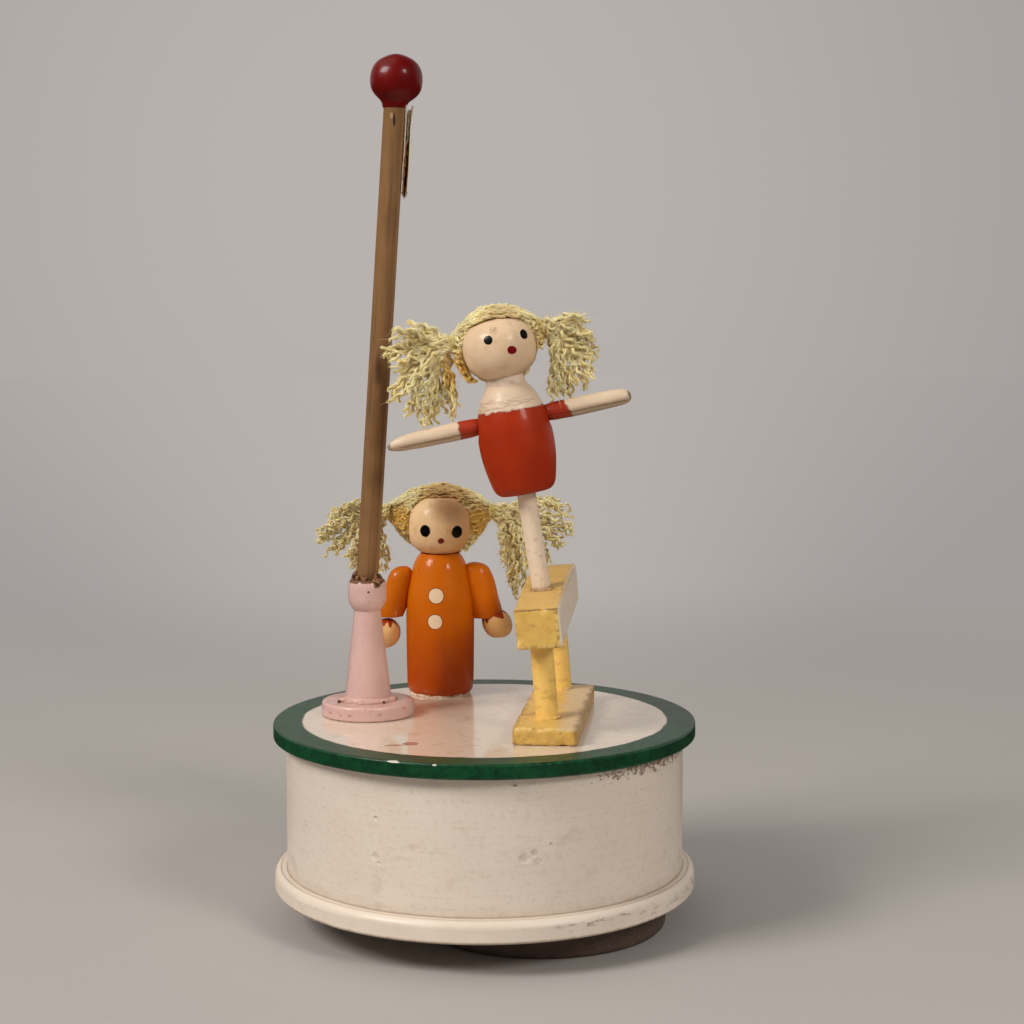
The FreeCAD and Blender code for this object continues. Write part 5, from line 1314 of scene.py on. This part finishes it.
# %% Board
def board_yellow():
    finish = horse_yellow("horse_board_yellow", ON_HORSE_SPOT, (14.6, 54, 4), low=(0, -54, 0), dirt=0.5)
    x, y, z = finish.xyz(finish.at)
    blotch = finish.noise(finish.row, 4.0, detail=6)
    edge = finish.step(abs(x) + blotch * 3.0, 7.4, 8.6) | finish.step(y + blotch * 2.0, -52.4, -53.6)
    worn_top = finish.step(x + blotch * 4.0 + y * 0.05, 1.0, 4.0) * finish.step(z, 3.2, 3.8)
    finish.stain(paint(210, 186, 150), worn_top * 0.75)
    finish.stain(paint(146, 108, 60), edge * finish.step(blotch, 0.3, 0.55) * 0.6)
    return finish.done()


BOARD_KNOCKS = [((-7.3, -54, 4), 1.4, 0.4), ((4.2, -54, 0.2), 1.6, 0.4), ((-1.5, -54, 4), 1.1, 0.3),
                ((7.3, -54, 2.2), 1.2, 0.35), ((-7.3, -38, 4), 1.5, 0.35), ((7.3, -30, 4), 1.7, 0.4)]
board_finish = board_yellow()
board = sawn("board", (-7.3, -54, 0), (7.3, 0, 4), edge=0.45, grain=0.42)
board = roughened(board, size=5, depth=0.1, seed=12)
board = knocked(roughened(board, size=1.4, depth=0.1, seed=13), BOARD_KNOCKS)
for vertex in board.data.vertices:
    vertex.co.z = max(vertex.co.z, 0)
hang(settled(board, ON_HORSE_SPOT), "sanded_board", board_finish, "yellow_wood", "horse_board")

# %% [markdown]
# ### Old glue and torn paint
# Each figure was stuck down with hot glue, which swelled out round its foot and dried in lumps. The
# ring of torn paint round the pole's socket is the roughest spot on the toy. These start as a torus or
# a circle, the single lumps as a ball, and all are then roughened much more than anything else.


# %% Glue rings
def swollen_ring(name, radius, thick, size, depth, seed, squash, gaps):
    """A ring of glue that lies on the plane z = 0 and swells and shrinks on its way round."""
    select_none()
    bpy.ops.mesh.primitive_torus_add(major_segments=96, minor_segments=10, major_radius=radius * MM,
                                     minor_radius=thick * MM)
    piece = bpy.context.object
    piece.name = name
    for vertex in piece.data.vertices:
        flat = Vector((vertex.co.x, vertex.co.y, 0))
        middle = flat.normalized() * radius * MM
        swell = 1 + gaps * noise.noise(middle / (2.2 * MM) + Vector((seed, 0, 0)))
        out = vertex.co - middle
        vertex.co = middle + Vector((out.x, out.y, out.z * squash)) * max(0.15, swell)
    roughened(smooth(piece), size, depth, seed)
    for vertex in piece.data.vertices:
        vertex.co.z = max(vertex.co.z, 0.0)
    return smooth(piece, 0)


doll_ring = swollen_ring("ring", radius=7.2, thick=0.6, size=1.2, depth=0.4, seed=14, squash=0.8, gaps=1.6)
hang(settled(doll_ring, DOLL), "doll_foot_glue", pale_glue, "glue")
post_rings = []
for y, thick, seed in ((-41.8, 0.5, 15), (-5.6, 0.4, 16)):
    ring = swollen_ring("ring", radius=2.6, thick=thick, size=0.8, depth=0.3, seed=seed, squash=0.9, gaps=1.0)
    post_rings.append(settled(ring, ON_HORSE_BOARD @ moved(0, y, 0)))
hang(joined("ring", *post_rings), "horse_post_glue", board_finish, "glue")
leg_ring = swollen_ring("ring", radius=2.1, thick=0.4, size=0.7, depth=0.3, seed=17, squash=0.7, gaps=1.4)
leg_glue = old_glue("leg_glue", paint(206, 170, 112), paint(150, 106, 62), 0.5)
hang(settled(leg_ring, ON_LEG @ moved(0, 0, -0.15)), "leg_foot_glue", leg_glue, "glue")


# %% Torn socket rim
RIM_PROFILE = [(-1.0, 3.95), (-0.45, 3.7), (-0.1, 3.3), (0.25, 2.95)]
RIM_SIDES = 72


def splinters():
    """A ring wall round the pole whose upper edge is torn."""
    foot, foot_radius = RIM_PROFILE[0]
    select_none()
    bpy.ops.mesh.primitive_circle_add(vertices=RIM_SIDES, radius=foot_radius * MM, fill_type="NOTHING",
                                      location=(0, 0, foot * MM))
    piece = bpy.context.object
    bpy.ops.object.mode_set(mode="EDIT")
    bpy.ops.mesh.select_all(action="SELECT")
    for (before, old), (z, new) in zip(RIM_PROFILE, RIM_PROFILE[1:]):
        bpy.ops.mesh.extrude_region_move(TRANSFORM_OT_translate={"value": (0, 0, (z - before) * MM)})
        bpy.ops.transform.resize(value=(new / old, new / old, 1), center_override=(0, 0, z * MM))
    bpy.ops.object.mode_set(mode="OBJECT")
    dice = random.Random(41)
    torn = [dice.uniform(-0.9, 0.75) for _ in range(RIM_SIDES)]
    half = RIM_SIDES // 2
    for vertex in piece.data.vertices:
        turn = math.atan2(vertex.co.y, vertex.co.x)
        height = (vertex.co.z / MM - foot) / (RIM_PROFILE[-1][0] - foot)
        vertex.co.z += torn[round(turn / (2 * math.pi) * RIM_SIDES) % RIM_SIDES] * height * MM
        vertex.co.x *= 1 + 0.05 * height * torn[round(turn / (2 * math.pi) * half) % half]
    alone(piece)
    bpy.ops.object.mode_set(mode="EDIT")
    bpy.ops.mesh.select_all(action="SELECT")
    bpy.ops.mesh.normals_make_consistent(inside=False)
    bpy.ops.object.mode_set(mode="OBJECT")
    worked(piece, "SOLIDIFY", thickness=0.45 * MM, offset=-1)
    worked(piece, "SUBSURF", levels=1, render_levels=1)
    return smooth(roughened(piece, size=0.7, depth=0.25, seed=18), 0)


def tongue():
    """The torn tongue lies on the ball under the rim, so its rings follow the ball outward and down."""
    down = [((2.4, -2.6, -0.1), 0.9, 0.5), ((2.6, -3.2, -0.6), 1.5, 0.6), ((2.6, -3.6, -1.2), 1.05, 0.5),
            ((2.5, -3.9, -1.8), 0.55, 0.4), ((2.45, -4.05, -2.25), 0.16, 0.2)]
    return roughened(smooth(drawn("tongue", down, sides=20)), size=0.7, depth=0.3, seed=19)


rim = settled(joined("rim", splinters(), tongue()), ON_SOCKET @ moved(0, 0, 0.75))


# %% Cup of the socket
CUP_PROFILE = [(26.9, 4.2), (28.0, 4.55), (29.3, 4.65), (30.8, 4.6), (32.0, 4.4), (32.6, 4.1),
               (32.75, 3.6), (32.6, 2.2)]
cup = roughened(smooth(drawn("cup", upright(CUP_PROFILE), sides=40)), size=3.0, depth=0.1, seed=17)
hang(settled(cup, ON_STAND), "socket_cup", pink, "pink_wood")
hang(rim, "torn_socket_rim", torn_wood, "glue", "socket_glue")


# %% Drips on the stand
DRIPS = [((-46.8, 8.4, 51.7), (1.3, 0.9, 0.6)), ((-42.6, 5.9, 51.7), (1.2, 0.8, 0.6)),
         ((-36.6, 8.2, 51.7), (0.8, 0.7, 0.5))]
NUBS = [((-47.9, 7.2, 51.6), (0.42, 0.4, 0.3)), ((-39.2, 5.4, 51.6), (0.42, 0.4, 0.3)),
        ((-37.2, 6.0, 51.6), (0.42, 0.4, 0.3))]


def lumps(spots, depth, seed):
    """Small lumps, each a ball that is squashed and roughened. Each spot is (place, sizes)."""
    pieces = []
    for number, (place, sizes) in enumerate(spots):
        select_none()
        bpy.ops.mesh.primitive_ico_sphere_add(subdivisions=4, radius=MM, location=Vector(place) * MM,
                                              scale=sizes)
        piece = bpy.context.object
        bpy.ops.object.transform_apply(location=True, rotation=True, scale=True)
        pieces.append(smooth(roughened(piece, size=0.9, depth=depth, seed=seed + number), 0))
    return pieces


# Lacquer ran down the cone and dried in beads at its foot.
drip_ring = swollen_ring("drips", radius=6.1, thick=0.85, size=2.0, depth=0.3, seed=20, squash=0.8, gaps=0.9)
drip_ring = settled(drip_ring, ON_STAND @ moved(0, 0, 3.6))
drips = joined("drips", drip_ring, *lumps(DRIPS, depth=0.12, seed=30))
hang(drips, "stand_drips", pink, "pink_wood")
hang(joined("nubs", *lumps(NUBS, depth=0.15, seed=33)), "stand_glue_nubs", brown_glue, "glue")

# %% [markdown]
# ## Woollen hair
# The hair is two-ply wool. Over each head the yarns run from one tie to the other, side by side like
# a bundle, and past the ties they hang free as two tails. A ply is a thin tube on a helix, and two of
# them twisted make a yarn, so a yarn is two curves with a round bevel. The line they follow wavers,
# because the wool was unravelled and kept its crimp. Fine fibres stand off it as fuzz.
# Curves do this better than edit-mode tools: hundreds of strands, each with its own path.


# %% Wool
def wool(name, light, dark, stains_and_shade=()):
    """Each stain is (place, reach, colour): the wool takes that colour near the place. Some are stains in the
    wool, and some are painted shade.
    """
    finish = Finish(name, Sheen_Weight=0.35, Sheen_Roughness=0.5, Specular_IOR_Level=0.12,
                    Subsurface_Weight=0.6, Subsurface_Scale=0.0012, Subsurface_Radius=(1, 0.8, 0.5))
    at = finish.mm()
    lock = finish.noise(at, 2.4, detail=2)
    fibre = finish.noise(at, 0.3, detail=3)
    colour = finish.mix(light, dark, finish.step(lock * 0.6 + fibre * 0.4, 0.35, 0.65))
    for spot, reach, tint in stains_and_shade:
        near = finish.step(finish.away(at, spot) + (lock - 0.5) * 2.5, reach, reach * 0.4)
        colour = finish.mix(colour, tint, near * 0.85)
    return finish.feed(Base_Color=colour, Roughness=0.82 + 0.15 * fibre, Normal=finish.bump(fibre, 0.08))


# %% Yarn
class Yarn:
    """A kind of wool yarn, in millimetres. A ply has a radius and lies apart from the yarn's middle,
    round which it turns once in a pitch. The crimp is how far the yarn wavers in one wave."""

    def __init__(self, ply, apart, pitch, crimp, wave):
        self.ply, self.apart, self.pitch, self.crimp, self.wave = ply, apart, pitch, crimp, wave


def spread(line, spacing):
    """The same line with its points at equal distances, and its length."""
    lengths = [0.0]
    for before, after in zip(line, line[1:]):
        lengths.append(lengths[-1] + (after - before).length)
    count = max(4, round(lengths[-1] / spacing))
    points, k = [], 0
    for n in range(count + 1):
        want = lengths[-1] * n / count
        while k < len(lengths) - 2 and lengths[k + 1] < want:
            k += 1
        share = (want - lengths[k]) / max(lengths[k + 1] - lengths[k], 1e-9)
        points.append(line[k].lerp(line[k + 1], share))
    return points, lengths[-1]


def two_plies(line, yarn, dice, crimp=1.0, loose_ends=True):
    """Two strands, each a list of (point, thickness share), twisted round a wavering line."""
    points, length = spread(line, yarn.pitch / 7)
    side = Vector((0.2, 0.4, 1)).normalized()
    quick_1, quick_2, slow_1, slow_2, twist = [dice.uniform(0, 2 * math.pi) for _ in range(5)]
    rate = 2 * math.pi / yarn.wave * dice.uniform(0.85, 1.15)
    sway = yarn.crimp * crimp
    strands = ([], [])
    for n, point in enumerate(points):
        ahead = (points[min(n + 1, len(points) - 1)] - points[max(n - 1, 0)]).normalized()
        side = (side - ahead * side.dot(ahead)).normalized()
        other = ahead.cross(side)
        s = length * n / (len(points) - 1)
        waver = (side * math.sin(s * rate + quick_1) + other * math.cos(s * rate * 0.83 + quick_2)) * sway
        slow = side * math.sin(s * rate * 0.37 + slow_1) + other * math.sin(s * rate * 0.31 + slow_2)
        waver += slow * sway
        turn = 2 * math.pi * s / yarn.pitch + twist
        end = min(1.0, (length - s) / 2.0) if loose_ends else 1.0
        thick = 0.6 + 0.4 * end
        for strand, half in zip(strands, (0, math.pi)):
            round_it = side * math.cos(turn + half) + other * math.sin(turn + half)
            strand.append((point + waver + round_it * yarn.apart * (1.6 - 0.6 * end), thick))
    return strands


# %% Fuzz
FUZZ_LENGTH, FUZZ_RADIUS = 2.0, 0.032


def any_way(dice):
    return Vector([dice.gauss(0, 1) for _ in range(3)])


def fuzz_on(strands, count, dice):
    """Fine curved fibres that run along the yarns and stand off them."""
    fibres = []
    for _ in range(count):
        strand = dice.choice(strands)
        k = dice.randrange(1, len(strand))
        root, ahead = strand[k][0], (strand[k][0] - strand[k - 1][0]).normalized()
        way = (ahead * dice.choice((-1, 1)) + 0.55 * any_way(dice)).normalized()
        bend = any_way(dice).normalized()
        size = FUZZ_LENGTH * dice.uniform(0.4, 1.2)
        fibres.append([(root + way * size * t + bend * size * 0.45 * t * t, 1 - 0.5 * t)
                       for t in (0, 0.35, 0.7, 1)])
    return fibres


# %% Tubes
def tubes(name, strands, radius, roundness):
    """One mesh of round tubes, one along each strand. The strands are in millimetres."""
    select_none()
    curve = bpy.data.curves.new(name, "CURVE")
    curve.dimensions = "3D"
    curve.bevel_depth = radius * MM
    curve.bevel_resolution = roundness
    curve.use_fill_caps = True
    for strand in strands:
        spline = curve.splines.new("POLY")
        spline.points.add(len(strand) - 1)
        for point, (place, thick) in zip(spline.points, strand):
            point.co = (*(place * MM), 1)
            point.radius = thick
    piece = bpy.data.objects.new(name, curve)
    bpy.context.collection.objects.link(piece)
    alone(piece)
    bpy.ops.object.convert(target="MESH")
    bpy.ops.object.shade_smooth()
    return bpy.context.object


def woolly(name, strands, yarn, fibres, dice, finish, node, *under):
    """One piece of the strands, of a number of fuzz fibres on them, and of what lies under them."""
    body = tubes(name, strands, yarn.ply, roundness=1)
    fuzz = tubes(name + "_fuzz", fuzz_on(strands, fibres, dice), FUZZ_RADIUS, roundness=0)
    return hang(joined(name, body, fuzz, *under), name, finish, "yarn", node)


# %% [markdown]
# ### The bundle over the head
# Round the line from tie to tie each yarn has its own angle, from the hairline over the crown to the
# nape. Half way it lies on the bead, and towards a tie all yarns close in on one point. On each side
# of the face more yarns start at its edge and fan back to the tie. Under all of them lie thin sheets
# of matted wool, so no bare bead shows between two yarns.


# %% Heads
class Head:
    """The sizes of a head and its hair, in millimetres, in the head's own frame, which stands on the
    neck. The bead has a radius and a height. The hair stands off it by thick at the back and by top on
    the crown. The ties lie a reach to each side and a rise above the bead's middle. Front and nape are
    the angles of the first and the last yarn, forward of upright, in degrees, and face is how far
    forward the yarns beside the face start."""

    SQUARENESS = 2.6
    KNOT = 1.25          # the bundle's radius at a tie
    SET_BACK = 0.12      # how far behind the middle a tie lies, as a share of the bead's radius

    def __init__(self, place, radius, height, thick, top, reach, rise, front, nape, face):
        self.place, self.radius, self.height = place, radius, height
        self.thick, self.top, self.reach, self.rise = thick, top, reach, rise
        self.front, self.nape, self.face = front, nape, face

    def girth(self, level):
        """The bead's radius at a height from its middle, given as a share of half its height."""
        power = self.SQUARENESS
        return self.radius * (0.125 + 0.875 * (1 - min(1.0, abs(level)) ** power)) ** (1 / power)

    def bead(self, angle):
        """The bead's surface half way between the ties, at an angle forward of upright, in degrees."""
        a, low, high = math.radians(angle), 0.0, self.radius * 1.5
        for _ in range(24):
            middle = (low + high) / 2
            level = middle * math.cos(a) / (self.height / 2)
            inside = abs(middle * math.sin(a)) < self.girth(level) and abs(level) < 1
            low, high = (middle, high) if inside else (low, middle)
        return low

    def around(self, angle, share, lift):
        """A point of the bundle: at an angle, part of the way to a tie, lifted off the bead."""
        a, s = math.radians(angle), abs(share)
        fullness = (1 - s ** 1.9) ** 0.95 if s < 1 else 0.0
        middle = self.bead(angle) + lift
        out = self.KNOT + fullness * (middle - self.KNOT)
        y = self.SET_BACK * self.radius * s * s - math.sin(a) * out
        z = self.height / 2 + self.rise * s * s + math.cos(a) * out
        return self.place @ Vector((self.reach * share, y, z))

    def tie(self, side):
        place = (side * self.reach, self.SET_BACK * self.radius, self.height / 2 + self.rise)
        return self.place @ Vector(place)

    def beside_face(self, side, angle, depth, lift):
        """A point on the bead beside the face: at an angle from upright in the camera's view."""
        a = math.radians(angle)
        level = math.cos(a)
        out = math.sqrt(max(0.0, (self.girth(level * 0.98) + lift) ** 2 - depth ** 2))
        out *= max(0.25, math.sin(a) ** 0.35)
        return self.place @ Vector((side * out, depth, self.height / 2 * (1 + level) + lift * level))


gymnast_head = Head(GYMNAST_HEAD, radius=8.7, height=15.3, thick=1.9, top=3.8, reach=10.1, rise=3.85,
                    front=25, nape=-150, face=-2.2)
doll_head = Head(DOLL_HEAD, radius=8.1, height=14.0, thick=2.4, top=4.1, reach=13.2, rise=3.4,
                 front=16, nape=-150, face=-3.0)


# %% Yarns over the head
def bundle(head, yarn, lifted, front, count, dice):
    """The yarns of one layer, from tie to tie: how far it is lifted, and how far forward it starts."""
    strands, steps = [], 40
    for n in range(count):
        share = n / (count - 1)
        angle = head.front * front + (head.nape - head.front * front) * share
        full = min(1.0, share * 3.0 + 0.25)
        crown = max(0.0, math.cos(math.radians(angle)))
        lift = 0.5 + lifted * full * ((head.top - 1.1) * crown + (head.thick - 1.1) * (1 - crown))
        angle += dice.uniform(-2.5, 2.5)
        line = [head.around(angle, -1 + 2 * t / steps, lift + dice.uniform(-0.15, 0.15))
                for t in range(steps + 1)]
        strands += two_plies(line, yarn, dice, crimp=0.4, loose_ends=False)
    return strands


# %% Yarns beside the face
HIGHEST = 28      # the angle of the highest yarn beside the face, from upright, in degrees


def fan(head, side, angle, depth, lift, t):
    """A point on a yarn that starts at the edge of the face and ends at the tie."""
    start = head.beside_face(side, angle, head.face + depth, lift)
    low = head.beside_face(side, angle, head.face + 3.2, lift + 1.0)
    return start * (1 - t) ** 2 + low * 2 * t * (1 - t) + head.tie(side) * t * t


def curtain(head, yarn, side, lift, count, lowest, dice):
    """Yarns that fan from the edge of the face to the tie."""
    strands, steps = [], 20
    for n in range(count):
        angle = HIGHEST + (lowest - HIGHEST) * (n + dice.uniform(0.3, 0.7)) / count
        depth = dice.uniform(-0.3, 0.3)
        line = [fan(head, side, angle, depth, lift, t / steps) for t in range(steps + 1)]
        strands += two_plies(line, yarn, dice, crimp=0.5, loose_ends=False)
    return strands


# %% Matted wool
def wad(columns, rows, place):
    """A thin sheet of matted wool. Its place is asked for x from -1 to 1 and y from 0 to 1."""
    select_none()
    bpy.ops.mesh.primitive_grid_add(x_subdivisions=columns, y_subdivisions=rows, size=1, location=(0, 0, 0))
    sheet = bpy.context.object
    for vertex in sheet.data.vertices:
        vertex.co = place(vertex.co.x * 2, vertex.co.y + 0.5) * MM
    bpy.ops.object.shade_smooth()
    sheet = worked(sheet, "SOLIDIFY", thickness=0.5 * MM, offset=0)
    return roughened(sheet, size=0.8, depth=0.3, seed=columns)


def wad_over(head):
    """The sheet over the crown, from a little behind the hairline to a little above the nape."""
    def place(x, y):
        angle = head.front - 4 + (head.nape - head.front + 8) * y
        return head.around(angle, x * 0.97, 0.45 + (head.thick - 1.6) * min(1, y * 6))
    return wad(40, 40, place)


def wad_beside(head, side, lowest):
    def place(x, y):
        return fan(head, side, HIGHEST + (lowest - HIGHEST) * y, 0.3, 0.15, (x + 1) / 2)
    return wad(16, 24, place)


# %% Combing
def comb_hair(name, head, yarn, finish, node, lowest, seed):
    """Lowest is the lowest angle of the yarns beside the face, left and right."""
    dice = random.Random(seed)
    strands = bundle(head, yarn, lifted=0.0, front=1.0, count=20, dice=dice)
    strands += bundle(head, yarn, lifted=1.0, front=0.85, count=36, dice=dice)
    under = [wad_over(head)]
    for side, low in zip((-1, 1), lowest):
        for lift in (0.4, 0.9):
            strands += curtain(head, yarn, side, lift, count=12, lowest=low, dice=dice)
        under.append(wad_beside(head, side, low))
    return woolly(name, strands, yarn, 1800, dice, finish, node, *under)


WOOL_LIGHT, WOOL_DARK, WOOL_SHADE = paint(252, 232, 170), paint(232, 204, 134), paint(220, 156, 36)
gymnast_yarn = Yarn(ply=0.3, apart=0.17, pitch=3.4, crimp=0.42, wave=3.0)
doll_yarn = Yarn(ply=0.26, apart=0.15, pitch=3.0, crimp=0.4, wave=2.7)
# The deep yellow near the ties is painted shade; the other colours are stains in the wool.
gymnast_wool = wool("gymnast_wool", WOOL_LIGHT, WOOL_DARK, [
    (tuple(gymnast_head.tie(-1) + Vector((2.6, 0, -6.5))), 7.5, WOOL_SHADE),
    (tuple(gymnast_head.tie(1) + Vector((-2.0, 0, -2.5))), 5.0, WOOL_SHADE),
    (tuple(gymnast_head.place @ Vector((2, -3, 17.5))), 7.0, paint(212, 178, 124))])
doll_wool = wool("doll_wool", WOOL_LIGHT, WOOL_DARK, [
    *((tuple(doll_head.tie(side) - Vector((side * 4.0, 1.5, 2.5))), 6.0, WOOL_SHADE) for side in (-1, 1)),
    ((-22.5, 36.0, 99.5), 10.5, paint(176, 128, 66)), ((-22.8, 32.5, 98.0), 5.5, paint(140, 82, 28))])
comb_hair("gymnast_hair_wool", gymnast_head, gymnast_yarn, gymnast_wool, "gymnast_hair",
          lowest=(138, 96), seed=11)
comb_hair("doll_hair_wool", doll_head, doll_yarn, doll_wool, "doll_hair", lowest=(105, 145), seed=12)

# %% [markdown]
# ### The tails
# Past the ties the yarns fan out. The photograph shows where the tips of the fan end, so a row of
# points along those tips is enough: each yarn leaves the tie sideways, bends and ends near one of
# them, some a little nearer the camera and some further back. A point is given as the distance to the
# right of the drum's axis and the height above the lid, in millimetres.


# %% Tails
def along(points, share):
    """A point part of the way along a row of points."""
    line, _ = spread(points, 0.2)
    return line[min(len(line) - 1, int(share * (len(line) - 1)))]


TAIL_DEPTH = 2.4


def tail(name, head, yarn, finish, node, side, locks, seed, tips, yarns=4):
    """A tail of several locks, each with a few yarns that end close together."""
    dice = random.Random(seed)
    tie = head.tie(side)
    outward = (head.place.to_3x3() @ Vector((side, 0, 0))).normalized()
    row = [Vector((x + DRUM_X, tie.y, z + LID_TOP)) for x, z in tips]
    strands = []
    for lock in range(locks):
        share = (lock + dice.uniform(0.25, 0.75)) / locks
        back, shrink = dice.uniform(-TAIL_DEPTH, TAIL_DEPTH), dice.uniform(0.0, 0.2)
        for _ in range(yarns):
            tip = along(row, min(1, max(0, share + dice.gauss(0, 0.35) / locks)))
            tip = tip.lerp(tie, max(0, shrink + dice.gauss(0, 0.07)))
            tip += Vector((0, back + dice.gauss(0, 0.6), 0))
            root = tie + Vector((0, dice.uniform(-1, 1), dice.uniform(-1, 1)))
            size, away = (tip - root).length, (tip - root).normalized()
            first = root + (outward * 0.6 + away * 0.4).normalized() * size * 0.32
            second = tip - (away * 0.75 + Vector((0, 0, -0.35))).normalized() * size * 0.34
            line = []
            for n in range(25):
                t = n / 24
                line.append(root * (1 - t) ** 3 + first * 3 * t * (1 - t) ** 2
                            + second * 3 * t * t * (1 - t) + tip * t ** 3)
            strands += two_plies(line, yarn, dice)
    return woolly(name, strands, yarn, 2400, dice, finish, node)


tail("gymnast_tail_wool_left", gymnast_head, gymnast_yarn, gymnast_wool, "gymnast_tail_left",
     side=-1, locks=16, seed=21,
     tips=[(-19.0, 94.5), (-21.6, 92.0), (-23.0, 88.6), (-23.7, 84.7), (-22.8, 79.5), (-22.4, 74.9),
           (-19.7, 73.3), (-14.6, 70.0), (-9.6, 70.5), (-4.5, 71.6)])
tail("gymnast_tail_wool_right", gymnast_head, gymnast_yarn, gymnast_wool, "gymnast_tail_right",
     side=1, locks=14, seed=22,
     tips=[(21.7, 95.8), (24.0, 94.7), (25.4, 90.8), (26.8, 86.2), (26.1, 81.6), (24.5, 78.7), (20.4, 76.4),
           (15.5, 74.3)])
tail("doll_tail_wool_left", doll_head, doll_yarn, doll_wool, "doll_tail_left",
     side=-1, locks=16, seed=23,
     tips=[(-30.9, 48.9), (-35.2, 47.9), (-39.5, 45.4), (-41.7, 42.8), (-42.5, 38.8), (-40.5, 33.7),
           (-37.4, 31.7), (-33.4, 30.7), (-29.4, 29.6), (-25.3, 29.4), (-23.8, 30.7)])
tail("doll_tail_wool_right", doll_head, doll_yarn, doll_wool, "doll_tail_right",
     side=1, locks=18, seed=24,
     tips=[(18.1, 49.2), (20.6, 48.2), (23.7, 45.9), (23.4, 42.8), (22.1, 39.3), (19.6, 35.7), (17.9, 33.2),
           (14.1, 29.9), (10.8, 26.1), (8.0, 23.3), (6.7, 27.4), (5.2, 32.4)])


# %% Ties
def wind_tie(name, head, finish, node, seed):
    """Three turns of thread round the wool at each tie, 1.3 mm from the first to the last."""
    dice = random.Random(seed)
    thread = Yarn(ply=0.2, apart=0.2, pitch=2.2, crimp=0.05, wave=3.0)
    in_a_turn, steps = 20, 60
    strands = []
    for side in (-1, 1):
        line = []
        for n in range(steps + 1):
            angle = 2 * math.pi * n / in_a_turn
            radius = 1.62 + 0.12 * math.sin(n * 0.7 + side)
            line.append(head.tie(side) + head.place.to_3x3() @ Vector((
                (n / steps - 0.5) * 1.3, radius * math.cos(angle), radius * math.sin(angle))))
        strands += two_plies(line, thread, dice)
    return hang(tubes(name, strands, thread.ply, roundness=1), name, finish, "thread", node)


thread_finish = wool("tie_thread", paint(226, 204, 132), paint(192, 164, 88))
wind_tie("gymnast_ties_thread", gymnast_head, thread_finish, "gymnast_hair_ties", seed=31)
wind_tie("doll_ties_thread", doll_head, thread_finish, "doll_hair_ties", seed=32)

# %% [markdown]
# ## Sizes and the end
# The dressed toy should be as large as its solids, so both boxes are measured and their sizes printed.

# %% Sizes
dressed_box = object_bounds()
sizes = {"solids": [list(corner) for corner in solid_box], "dressed": [list(corner) for corner in dressed_box]}
for name, (low, high) in sizes.items():
    print(name, [round((h - l) / MM, 2) for l, h in zip(low, high)], "mm")
